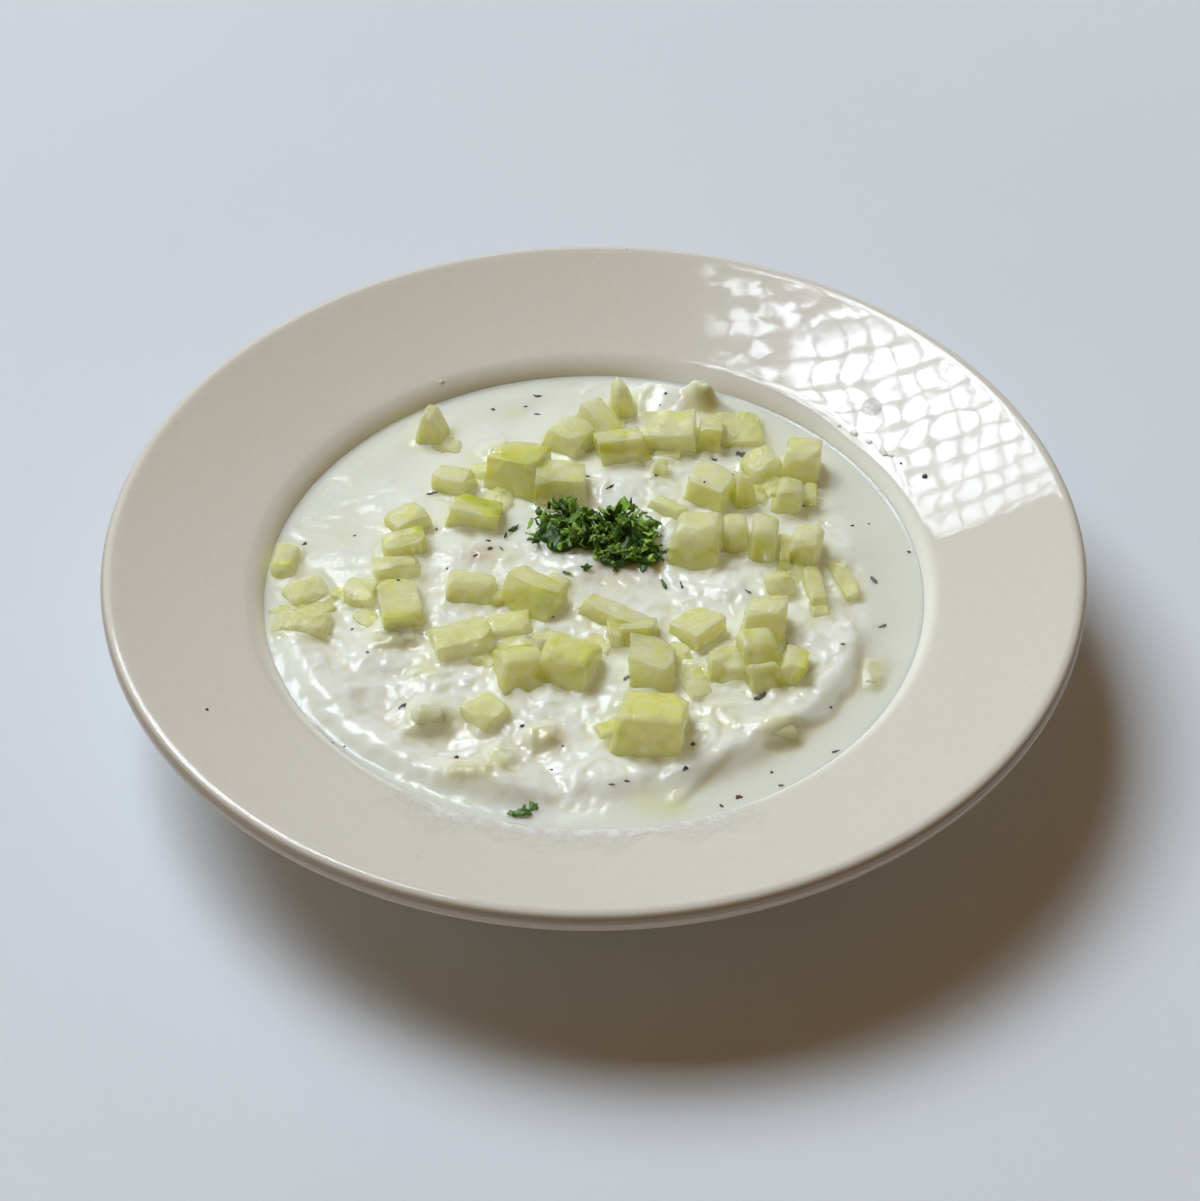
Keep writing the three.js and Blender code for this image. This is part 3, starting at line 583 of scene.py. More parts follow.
def film_finish():
    """A thin smear of yoghurt or whey on the glaze: mostly clear, cloudy where thick."""
    film = Finish("smear of yoghurt")
    streaky = film.cloud(film.place(), 3, 3, 0.6, 0.5)
    density = film.product(film.attribute("cloudy"), film.ramp(streaky, 0.3, 0.7, 0.5, 1.0))
    film.shade(Base_Color=rgb(0.86, 0.85, 0.78), Alpha=density, Roughness=0.15, IOR=1.36)
    film.shade(Normal=film.bump(streaky, 0.08))
    return film.material


def water_finish():
    """A clear drop."""
    water = Finish("clear drop")
    ripple = water.bump(water.cloud(water.place(), 2, 1), 0.05)
    water.shade(Base_Color=rgb(0.72, 0.72, 0.68), Normal=ripple)
    water.shade(Roughness=0.03, IOR=1.33, Alpha=0.28)
    return water.material


def table_finish():
    """A matt pale table top with a faint grain."""
    table = Finish("pale table")
    where = table.place()
    grain = table.cloud(where, 1.2, 3)
    broad = table.ramp(table.cloud(where, 120, 2), 0.3, 0.7)
    body = table.mix(broad, rgb(0.705, 0.735, 0.765), rgb(0.725, 0.752, 0.780))
    body = table.patches(body, grain, 0.3, 0.7, 0.3, rgb(0.69, 0.72, 0.74))
    table.shade(Base_Color=body, Normal=table.bump(grain, 0.03))
    table.shade(Roughness=0.6, Specular_IOR_Level=0.2)
    return table.material


# ---- the bowl ---------------------------------------------------------------------


def arc(x, z, radius, start, end, steps):
    """Points of a circular arc in the profile plane, angles in degrees."""
    a = np.radians(np.linspace(start, end, steps + 1))
    return np.stack([x + radius * np.cos(a), z + radius * np.sin(a)], -1)


def well_section(depth, steps):
    """The well's section from its floor out to the rim, moved by depth into the china
    (or, where depth is negative, into the dip): the floor's rounding and the lip."""
    slope, wall = np.radians(RIM_SLOPE), np.radians(WALL_SLOPE)
    rim_x = RIM_RADIUS - EDGE_RADIUS - EDGE_RADIUS * np.sin(slope)
    rim_z = EDGE_HEIGHT + EDGE_RADIUS * np.cos(slope)
    lip_x = LIP_START + LIP_RADIUS * np.sin(slope)
    lip_z = rim_z - (rim_x - LIP_START) * np.tan(slope) - LIP_RADIUS * np.cos(slope)
    wall_x = lip_x - LIP_RADIUS * np.sin(wall)
    wall_z = lip_z + LIP_RADIUS * np.cos(wall)
    round_z = FLOOR + FLOOR_ROUND
    foot_z = round_z - FLOOR_ROUND * np.cos(wall)
    foot_x = wall_x - (wall_z - foot_z) / np.tan(wall)
    round_x = foot_x - FLOOR_ROUND * np.sin(wall)
    floor = arc(round_x, round_z, FLOOR_ROUND + depth, -90, WALL_SLOPE - 90, steps)
    lip = arc(lip_x, lip_z, LIP_RADIUS - depth, 90 + WALL_SLOPE, 90 + RIM_SLOPE, steps)
    return floor, lip


def straight(start, end, steps, sag=0.0):
    """Points strictly between start and end, dished by a parabola that is sag deep."""
    t = np.linspace(0, 1, steps + 2)[1:-1, None]
    start, end = np.asarray(start, float), np.asarray(end, float)
    across = np.array([end[1] - start[1], start[0] - end[0]])
    across /= np.linalg.norm(across)
    return start + (end - start) * t + across * sag * (1 - (2 * t - 1) ** 2)


def rim_edge():
    """The edge of the rim from its underside round to its top: a lower bead, a shallow
    groove and the upper roll, all inside the edge's full thickness."""
    x = RIM_RADIUS - EDGE_RADIUS
    lower = arc(x + 0.55, EDGE_HEIGHT - 0.75, EDGE_RADIUS - 0.75, RIM_SLOPE - 96, 18, 9)
    upper = arc(x + 0.45, EDGE_HEIGHT + 0.62, EDGE_RADIUS - 0.62, -6, RIM_SLOPE + 88, 11)
    return np.concatenate([lower, upper])


def bowl_section():
    """The bowl's closed section, from the middle of its underside over the foot ring,
    the wall and the rim's edge back to the middle of its floor."""
    floor_in, lip_in = well_section(0, 14)
    floor_out, lip_out = well_section(2 * EDGE_RADIUS, 10)
    edge = rim_edge()
    foot_top = FLOOR - 2 * EDGE_RADIUS
    foot = np.array([
        (FOOT_INNER - 1.4, RECESS), (FOOT_INNER - 0.5, RECESS - 0.5), (FOOT_INNER, 0.7),
        (FOOT_INNER + 0.7, 0.0), (FOOT_OUTER - 0.7, 0.0), (FOOT_OUTER, 0.7),
        (FOOT_OUTER + 0.4, foot_top - 0.4), (FOOT_OUTER + 1.2, foot_top),
    ])
    return np.concatenate([
        [(0.0, RECESS)], straight((0, RECESS), foot[0], 4), foot,
        floor_out, straight(floor_out[-1], lip_out[0], 4), lip_out,
        straight(lip_out[-1], edge[0], 8), edge,
        straight(edge[-1], lip_in[-1], 22, -RIM_SAG), lip_in[::-1],
        straight(lip_in[0], floor_in[-1], 5), floor_in[::-1],
        straight(floor_in[0], (0, FLOOR), 8), [(0.0, FLOOR)],
    ])


def turned(section, steps):
    """A closed section turned about the vertical axis: a point of the section at (r, z)
    goes round at (r cos a, r sin a, z), and its two ends are single points on the axis.
    It starts at the bottom, so the faces are turned over."""
    a = np.linspace(0, 2 * np.pi, steps, endpoint=False)[None, :]
    rings = section[1:-1]
    points = on_rings(rings[:, :1], rings[:, 1:], a).reshape(-1, 3)
    ends = [(0, 0, section[0, 1]), (0, 0, section[-1, 1])]
    quads, caps = ring_faces(len(rings), steps)
    return np.concatenate([points, ends]), [quads[:, ::-1], caps[:, [0, 2, 1]]]


def add_bowl():
    """The bowl: its section turned round."""
    piece = lay_mesh("china_bowl", *turned(bowl_section(), 288))
    serve(piece, china_finish(), "china", "bowl")


# ---- the dip ----------------------------------------------------------------------


def dip_level(x, y):
    """The dip's broad form: a low mound with the spoon's ridges and the curds."""
    r = np.hypot(x, y)
    angle = np.degrees(np.arctan2(y, x))
    relief = np.zeros(np.shape(r))
    for start, end, start_radius, end_radius, height, inner, outer in RIDGES:
        along = ((angle - start) % 360) / (end - start)
        across = r - start_radius - (end_radius - start_radius) * np.minimum(along, 1)
        width = np.where(across < 0, inner, outer)
        ends = smooth_step(0, 0.2, along) * (1 - smooth_step(0.8, 1, along))
        relief += height * ends * np.exp(-((across / width) ** 2))
    for cx, cy, radius, height in CURDS:
        relief += height * spot(x, y, cx, cy, radius)
    mound = DIP_MOUND * (1 - smooth_step(0.55, 1.1, r / DIP_MOUND_RADIUS))
    return DIP_EDGE + mound + relief * (1 - smooth_step(DIP_CALM, 76.5, r))


def lumpiness(x, y):
    """1 where the yoghurt is stirred and lumpy, 0 where thin whey stands by the wall."""
    r, angle = np.hypot(x, y), np.degrees(np.arctan2(y, x))
    whey_start = 72 - 11 * smooth_step(-96, -76, angle) * smooth_step(72, 52, angle)
    rim = 1 - smooth_step(0, 5, r - whey_start)
    smooth_back = smooth_step(-8, 22, y - 0.6 * x - 22) * smooth_step(10, -14, x)
    return rim * (1 - 0.75 * smooth_back)


def from_piece(x, y, row):
    """Where points lie from a cut piece's middle, along its length and its width."""
    a = np.radians(row[6])
    away_x, away_y = x - row[0], y - row[1]
    along = np.cos(a) * away_x + np.sin(a) * away_y
    return along, np.cos(a) * away_y - np.sin(a) * away_x


def off_piece(x, y, row):
    """Distance in the plane from a cut piece's outline at the dip's surface."""
    show, length, width, height = row[2:6]
    taper_x, taper_y = row[9:11]
    up = np.clip(1 - show / height, 0, 1)
    along, across = from_piece(x, y, row)
    past_end = np.maximum(np.abs(along) - length / 2 * (1 - taper_x * up), 0)
    past_side = np.maximum(np.abs(across) - width / 2 * (1 - taper_y * up), 0)
    return np.hypot(past_end, past_side)


def nearest_piece(x, y):
    """Distance from the nearest cut piece."""
    distance = np.full(np.shape(x), np.inf)
    for row in CUCUMBER + SCRAPS:
        near = np.hypot(x - row[0], y - row[1]) < NEARBY
        distance[near] = np.minimum(distance[near], off_piece(x[near], y[near], row))
    return distance


def coated_pieces(x, y):
    """For each coated piece its height, and how far points are from its middle across
    and along the dish, as shares of its coat's half sizes."""
    coated = [CUCUMBER[number - 1] for number in COATED]
    coated += [SCRAPS[number - 1] for number in COATED_SCRAPS]
    for row in coated:
        px, py = from_piece(x, y - COAT_BEHIND, row)
        yield row[2], px / (row[3] / 2 + COAT_MARGIN), py / (row[4] / 2 + COAT_MARGIN)


def blanket(x, y):
    """Yoghurt lying over the coated pieces as soft mounds, which fall steeply in front
    and trail off behind."""
    height = np.zeros(np.shape(x))
    for show, px, py in coated_pieces(x, y):
        reach = np.hypot(px, py)
        end = 1.7 + 0.5 * smooth_step(-0.5, 0.8, py)
        height = np.maximum(height, 0.55 * show * (1 - smooth_step(0.3 * end, end, reach)))
    return height


def crest(x, y):
    """The crests: a rounded shoulder about 5 mm wide that ends in a steep little bank."""
    r, angle = np.hypot(x, y), np.degrees(np.arctan2(y, x))
    height = np.zeros(np.shape(r))
    for angles, radii, step, bank in CRESTS:
        waver = 0.5 * noise(np.stack([angle / 4.0, 0 * angle], -1), 1.0, 15)
        out = r - np.interp(angle, angles, radii) - waver
        first, last = angles[0], angles[-1]
        ends = smooth_step(first, first + 9, angle) * smooth_step(last, last - 9, angle)
        shoulder = np.exp(-((np.minimum(out, 0) / 5) ** 2))
        height += step * ends * shoulder * smooth_step(bank - 0.3, -0.3, out)
    return height


def dip_surface(x, y):
    """The whole surface: the broad form, stirred lumps whose lattice is bent by wider
    noise, soft curds where noise is high, yoghurt drawn up round each piece and at the
    wall, the blankets over coated pieces, and the crests."""
    x, y = np.asarray(x, float), np.asarray(y, float)
    place = np.stack([x, y], -1)
    bend = np.stack([noise(place, 17, 3), noise(place, 17, 4)], -1)
    stirred = place + 4.0 * bend
    lumpy = lumpiness(x, y)
    relief = (
        0.45 * noise(stirred, 13, 7)
        + 0.26 * noise(stirred, 6.5, 5)
        + 0.55 * smooth_step(0.15, 0.8, noise(stirred, 5.2, 6))
        + 0.17 * noise(place, 2.7, 8)
    )
    wet = np.clip(0.9 + 0.9 * noise(place, 4, 9), 0.2, 2)
    beside = np.maximum(nearest_piece(x, y) - 0.5, 0)
    drawn = 0.48 * wet * np.exp(-((beside / 0.9) ** 2))
    r = np.hypot(x, y)
    near_wall = 1 - smooth_step(74, 77, r)
    wall = 0.3 * np.exp(-np.maximum(77.3 - r, 0) / 0.6)
    return (
        dip_level(x, y) + (0.12 + 0.88 * lumpy) * relief * near_wall
        + near_wall * drawn + wall + blanket(x, y) + crest(x, y)
    )


# Colours of the dip: thick yoghurt, thin whey, a painted glow of light beside the
# cucumber that is also the tint of sunk pieces, painted shade in hollow places, spice,
# and flesh that shows through a coat.
THICK = (0.88, 0.89, 0.80)
WHEY = (0.76, 0.77, 0.655)
PAINTED_GLOW_AND_SUNK_TINT = (0.72, 0.71, 0.34)
HOLLOW_SHADE = (0.80, 0.69, 0.46)
SPICE = (0.62, 0.44, 0.25)
BARE_FLESH = (0.50, 0.47, 0.22)


def hollow_shade(x, y):
    """Painted shade for hollow places, 0 to 0.45: the mean height of four neighbours less
    its own, but nothing by the wall."""
    steps = ((2, 0), (-2, 0), (0, 2), (0, -2))
    around = sum(dip_surface(x + dx, y + dy) for dx, dy in steps) / len(steps)
    depth = np.clip(1.1 * (around - dip_surface(x, y)), 0, 0.45)
    return depth * smooth_step(73, 70, np.hypot(x, y))


def dip_tone(x, y):
    """Colour of the dip: white yoghurt, thinner and greener whey by the wall, painted beige
    shade in hollow places, stains of spice, a painted yellow green glow of light beside the
    cucumber, the same tint over pieces that lie under the surface, and flesh at the front
    of coated pieces."""
    place = np.stack([x, y], -1)
    thin = (1 - lumpiness(x, y)) * smooth_step(56, 68, np.hypot(x, y))
    thin = np.clip(thin + 0.25 * noise(place, 16, 12), 0, 1) * 0.75
    tone = blend(np.array(THICK), WHEY, thin)
    # painted shade: beige in the hollow places of the surface
    tone = blend(tone, HOLLOW_SHADE, hollow_shade(x, y))
    for *where, strength in STAINS:
        tone = blend(tone, SPICE, strength * spot(x, y, *where))
    # painted light: a yellow green glow beside each piece, as of light that comes through the
    # cucumber; sunk pieces add their own tint of the same colour
    share = 0.55 * np.exp(-nearest_piece(x, y) / 1.9)
    for *where, strength in SUNK:
        share = np.maximum(share, strength * spot(x, y, *where))
    tone = blend(tone, PAINTED_GLOW_AND_SUNK_TINT, share)
    mottle = 0.85 + 0.5 * noise(place, 3, 13)
    for _, px, py in coated_pieces(x, y):
        front = smooth_step(0.25, -0.55, py) * smooth_step(-1.45, -1.05, py)
        bare = 0.40 * front * smooth_step(1.3, 0.6, np.abs(px)) * mottle
        tone = blend(tone, BARE_FLESH, np.clip(bare, 0, 1))
    return tone


def add_dip():
    """A square grid pressed into a disc: (u, v) goes to (u sqrt(1 - v2/2), v sqrt(1 -
    u2/2)), so its lines are even over the whole dip.  Its border is joined to rings that
    follow the inside of the well down to the floor.  Its ripples fade towards the wall."""
    s = np.linspace(-1, 1, DIP_ROWS)
    u, v = np.meshgrid(s, s, indexing="ij")
    x = DIP_REACH * u * np.sqrt(1 - v * v / 2)
    y = DIP_REACH * v * np.sqrt(1 - u * u / 2)
    top = np.stack([x, y, dip_surface(x, y)], -1).reshape(-1, 3)
    number = np.arange(DIP_ROWS ** 2).reshape(DIP_ROWS, DIP_ROWS)
    border = [number[:-1, 0], number[-1, :-1], number[:0:-1, -1], number[0, :0:-1]]
    border = np.concatenate(border)
    heading = np.arctan2(top[border, 1], top[border, 0])
    floor, _ = well_section(-DIP_GAP, 3)
    first, last = (DIP_REACH - 0.6, DIP_EDGE - 1.6), (20.0, FLOOR + DIP_GAP)
    depths = np.concatenate([[first], floor[::-1], [last]])
    rings = on_rings(depths[:, :1], depths[:, 1:], heading).reshape(-1, 3)
    walk = np.concatenate([border, len(top) + np.arange(len(rings))])
    walk = walk.reshape(len(depths) + 1, -1)
    side = walk.ravel()[grid_quads(*walk.shape, round_columns=True)]
    points = np.concatenate([top, rings, [(0, 0, FLOOR + DIP_GAP)]])
    inner = walk[-1]
    middle = np.full(len(inner), len(points) - 1)
    fan = np.stack([inner, middle, np.roll(inner, -1)], -1)
    x, y = points[:, 0], points[:, 1]
    lumpy = lumpiness(x, y) * (1 - 0.75 * smooth_step(59, 68, np.hypot(x, y)))
    piece = lay_mesh(
        "yoghurt_dip", points, [grid_quads(DIP_ROWS, DIP_ROWS), side, fan],
        {"lumpy": lumpy}, {"tone": dip_tone(x, y)},
    )
    serve(piece, yoghurt_finish("wet yoghurt", 3.2), "yoghurt", "dip")


# ---- cut cucumber -----------------------------------------------------------------


def cube_skin(rows):
    """The surface of a cube of half side 1 as one closed grid.  Grid lines lie at sin s
    for even steps of s, so that they crowd towards the edges."""
    s = np.sin(np.linspace(-np.pi / 2, np.pi / 2, rows))
    a, b = np.meshgrid(s, s, indexing="ij")
    points, quads = [], []
    for axis in range(3):
        for side in (-1, 1):
            face = np.empty((rows, rows, 3))
            face[..., axis] = side
            face[..., (axis + 1) % 3] = a
            face[..., (axis + 2) % 3] = b
            corners = grid_quads(rows, rows) + len(points) * rows * rows
            quads.append(corners if side > 0 else corners[:, ::-1])
            points.append(face.reshape(-1, 3))
    shared, number = np.unique(np.round(np.concatenate(points), 6), axis=0, return_inverse=True)
    return shared, number.ravel()[np.concatenate(quads)]


# Colours of cucumber flesh: pale, which is also painted light on tops and edges; ripe;
# between those two and green; low, painted deep low down as light that comes through the
# piece and used right through ripe pieces; and green and deep green next to the peel.
PALE, RIPE_FLESH = (0.97, 0.965, 0.56), (0.965, 0.90, 0.33)
MIDDLE, LOW = (0.95, 0.94, 0.19), (0.80, 0.79, 0.035)
GREEN, DEEP_GREEN = (0.76, 0.83, 0.05), (0.40, 0.50, 0.009)


def flesh_tone(u, above, show, number, yellow, greenness, edge):
    """Colour of a piece at its points: painted light makes it paler on top and along its
    edges and deeper yellow-green low down its sides, and it is green next to the peel.  How
    yellow and how pale a piece is goes up and down with sines of its number."""
    drift = noise(u + 7.3 * number, 1.1, 60) + 0.6 * noise(u + 3.1 * number, 0.45, 61)
    # paler towards the top: painted light
    share = np.clip(0.3 + 0.7 * drift + 0.5 * smooth_step(0.5, 1.0, above / show), 0, 1)
    tone = blend(np.array(MIDDLE), PALE, share)
    tone = blend(tone, RIPE_FLESH, 0.7 if yellow else 0.12 + 0.12 * np.sin(2.9 * number))
    tone = blend(tone, PALE, 0.45 * (0.5 + 0.5 * np.sin(4.7 * number)))
    tone = blend(tone, GREEN, smooth_step(0.05, 0.65, greenness))
    tone = blend(tone, DEEP_GREEN, 0.6 * smooth_step(0.7, 1.0, greenness))
    # deeper yellow-green low down: painted light that comes through the piece
    painted_low_light = smooth_step(0.95, -0.05, above / show + 0.35 * drift)
    tone = blend(tone, LOW, np.maximum(painted_low_light, 0.4 if number in RIPE else 0))
    # paler along the edges: painted highlight
    return blend(tone, PALE, 0.6 * edge)


def worn_block(skin, half, blunt, number):
    """The cube's skin scaled to half sizes, drawn in at its edges to the radius blunt
    and dented by noise.  Returns its points and the way that each one faces."""
    inner = np.clip(skin * half, blunt - half, half - blunt)
    away = (skin * half - inner) / blunt
    away /= np.linalg.norm(away, axis=1, keepdims=True)
    dents = 0.36 * noise(skin * half + 31.7 * number, 4.6, 21)
    dents += 0.12 * noise(skin * half, 1.9, number)
    return inner + blunt * away + away * dents[:, None], away


def lop_corners(body, half, random):
    """Three planes cut off corners, never from below: what stands past a plane is moved
    back to it."""
    for _ in range(3):
        facing = random.choice([-1, 1], 3) * random.uniform(0.1, 1, 3)
        facing[2] = abs(facing[2])
        facing /= np.linalg.norm(facing)
        limit = np.abs(facing) @ half - random.uniform(0.06, 0.24) * half.min() * 2
        body = body - np.maximum(body @ facing - limit, 0)[:, None] * facing
    return body


def cut_piece(row, number, skin, green, round_share, seedy, yellow, coated):
    """A knife-cut block with lopped corners, which narrows towards its top, leans, is
    crowned on one side, turned and set into the dip; a wedge narrows in its length alone.
    Returns its points, its values, its tone and its own grain."""
    x, y, show, length, width, height, turn, pitch, roll, taper_x, taper_y, crown = row
    wedge = taper_x > 0.55
    taper_x *= 1.0 if wedge else 0.6
    taper_y *= 0.2 if wedge else 0.6
    half = np.array([length * SWELL, width * SWELL, height]) / 2
    body, away = worn_block(skin, half, max(0.28, round_share * half.min()), number)
    random = np.random.default_rng(900 + number)
    u = lop_corners(body, half, random) / half
    ux, uy, uz = u.T
    up = (uz + 1) / 2
    tip = np.sin(1.9 * number) * ux + np.sin(4.3 * number) * uy
    local = np.stack([
        half[0] * ux * (1 - taper_x * up) + 0.07 * length * np.sin(2.4 * number) * uz,
        half[1] * uy * (1 - taper_y * up) + 0.07 * width * np.sin(3.7 * number) * uz,
        half[2] * uz + 0.05 * height * tip + crown * (1 - uy ** 2) * up,
    ], -1)
    lean = random.uniform(-6, 6, 2)
    centre = np.array([x, y, dip_level(x, y) + show - height / 2])
    points = local @ turns(turn, pitch + lean[0], roll + lean[1]).T + centre
    side = np.array(green or (np.sin(5.1 * number), np.cos(5.1 * number), -0.6), float)
    side /= np.linalg.norm(side)
    greenness = (1.0 if green else 0.5) * smooth_step(0.15, 1.15, u @ side)
    above = points[:, 2] - dip_level(points[:, 0], points[:, 1])
    patchy = noise(points, 2.6, 40 + number)
    smear = coated * smooth_step(-0.6, 0.5, patchy + 2.2 * (up - 0.45))
    coat = np.maximum(0.2 * smooth_step(0.4, 0.9, patchy), smear)
    values = {"seedy": np.full(len(points), seedy), "coat": np.clip(coat, 0, 1)}
    # pale along the rounded edges above the dip, for the painted highlight in flesh_tone
    edge = smooth_step(0.97, 0.75, np.abs(away).max(axis=1)) * smooth_step(0, 1, above)
    tone = flesh_tone(u, above, show, number, yellow, greenness, edge)
    return points, values, tone, local + 37.0 * number


def lay_flesh(name, points, values, tone, grain, faces, finish, *nodes):
    """A mesh of cucumber with its tone and its own grain."""
    piece = lay_mesh(name, points, faces, values, {"tone": tone}, {"grain": grain})
    serve(piece, finish, "cucumber", *nodes)


def add_cucumber():
    """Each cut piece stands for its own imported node, and the scraps are one mesh."""
    thick = cucumber_finish("cut cucumber", 4.0, 0.42)
    thin = cucumber_finish("thin cucumber", 2.0, 0.52)
    skin, quads = cube_skin(27)
    for number, row in enumerate(CUCUMBER, 1):
        made = cut_piece(
            row, number, skin, GREEN_SIDES.get(number), ROUND.get(number, 0.0),
            1.0 if number in SEEDY else 0.08, number in YELLOW,
            0.5 if number in COATED else 0.0,
        )
        finish = thick if row[2] > THIN_BELOW else thin
        name, node = f"cucumber_cut_{number:02d}", f"cucumber_{number:02d}"
        lay_flesh(name, *made, [quads], finish, node)
    skin, quads = cube_skin(13)
    scraps = []
    for number, row in enumerate(SCRAPS, 1):
        sunk, coat = (0.5, 0.3) if number in COATED_SCRAPS else (1.0, 0.0)
        row = (*row[:2], row[2] * sunk, *row[3:])
        scraps.append(cut_piece(row, number, skin, None, 0.3, 0.12, number % 2 == 0, coat))
    faces = [quads + len(skin) * i for i in range(len(scraps))]
    points, tone, grain = (np.concatenate([part[i] for part in scraps]) for i in (0, 2, 3))
    values = {
        key: np.concatenate([part[1][key] for part in scraps]) for key in scraps[0][1]
    }
    lay_flesh("cucumber_scraps", points, values, tone, grain, faces, thin)


# Seed pulp between the pieces: x, y, length, width, height above the dip, turn.
PULP = (
    (-17, -22.5, 12, 8, 2.6, 20), (-24.5, -26, 8, 6, 2.0, -10), (-11.5, -20, 9, 6, 2.4, 30),
    (-48.5, -0.4, 9, 6, 2.4, 60), (-45.4, 7.4, 9, 4, 2.2, 0), (-44.6, 15.6, 8, 4, 2.4, 10),
    (-67, -7.4, 15, 8, 1.6, 10), (-59, -3, 6, 5, 1.4, -20), (33.6, -23, 9, 7, 2.6, 30),
    (41.4, -22.6, 7, 7, 2.8, 0), (26.4, -31, 8, 6, 1.8, 10), (45.2, 11, 6, 8, 3.2, 0),
    (29.4, 12.4, 6, 8, 3.2, 0), (46.6, 2.8, 7, 7, 2.6, 40), (37, 30.6, 9, 7, 3.0, 0),
    (44.6, 34.4, 9, 8, 3.2, 10), (51, 34.6, 6, 7, 2.6, 0), (32, 52.8, 8, 7, 2.4, 0),
    (13.2, 48.6, 6, 8, 3.0, 0), (-2.8, 51, 9, 8, 3.2, -30), (4, 58.8, 8, 9, 3.6, 0),
    (0.4, -22.6, 8, 7, 1.8, 20), (19.4, -25, 7, 7, 1.6, 0), (-22.4, 28.6, 7, 9, 3.0, -30),
    (-13, 31.6, 6, 8, 3.0, 0), (-36, 50.8, 8, 6, 2.0, -20), (-52.6, -10.4, 6, 7, 1.6, 0),
)


def add_pulp():
    """Soft seed pulp round the seedy pieces, as low uneven domes."""
    parts, grains = [], []
    for number, (x, y, length, width, height, turn) in enumerate(PULP, 1):
        points, quads, caps = dome(length / 2, width / 2, height, 16, 28)
        lumps = 0.45 * noise(points + 9.1 * number, 3.0, 70) + 0.22 * noise(points, 1.3, 71)
        local = points * (1.05 + lumps[:, None]) * (1, 1, 0.5)
        parts.append((local @ turns(turn, 0, 0).T + (x, y, dip_level(x, y)), quads, caps))
        grains.append(local + 23.0 * number)
    points, faces = joined(parts)
    grain, none = np.concatenate(grains), np.zeros(len(points))
    above = points[:, 2] - dip_level(points[:, 0], points[:, 1])
    tone = flesh_tone(grain / 5, above, 1.2, 0, yellow=True, greenness=none, edge=none)
    values = {"seedy": none + 0.8, "coat": none}
    finish = cucumber_finish("seed pulp", 1.5, 0.55)
    lay_flesh("cucumber_pulp", points, values, tone, grain, faces, finish)


# ---- herbs ------------------------------------------------------------------------

# Clumps of the parsley heap: x, y, reach in x, y and z.
CLUMPS = (
    (-7.2, 15.6, 8.2, 9.0, 4.8),
    (8.8, 14.6, 7.0, 9.0, 4.6),
    (1.0, 14.0, 6.4, 6.4, 3.4),
    (12.6, 7.6, 4.6, 3.4, 2.2),
    (5.4, 6.6, 5.0, 3.0, 2.0),
)
LEAVES = 230              # chopped leaves stuck in the clumps
HEAP_TOP = 8.6            # no leaf stands higher above the dip than this

# Bits of parsley beside the heap: x, y, length, width, turn.
STRAYS = (
    (-19.2, 17.8, 4.6, 1.8, 50), (-21.0, 15.2, 2.6, 1.2, 80), (-1.8, 2.8, 3.6, 2.4, 20),
    (-6.2, 1.2, 3.0, 1.3, -30), (16.4, -0.6, 5.4, 1.1, -66), (5.4, 3.8, 4.2, 1.8, 60),
    (-14.4, 13.4, 6.5, 1.0, 165), (17.0, 9.2, 7.5, 1.2, 8), (11.6, 4.4, 5.0, 2.6, 60),
    (3.4, 20.4, 5.0, 1.6, 70), (-15.6, -71.8, 5.8, 4.6, 20), (-13.4, -70.6, 4.2, 3.0, 70),
    (-18.2, -72.4, 3.2, 2.2, -20),
)

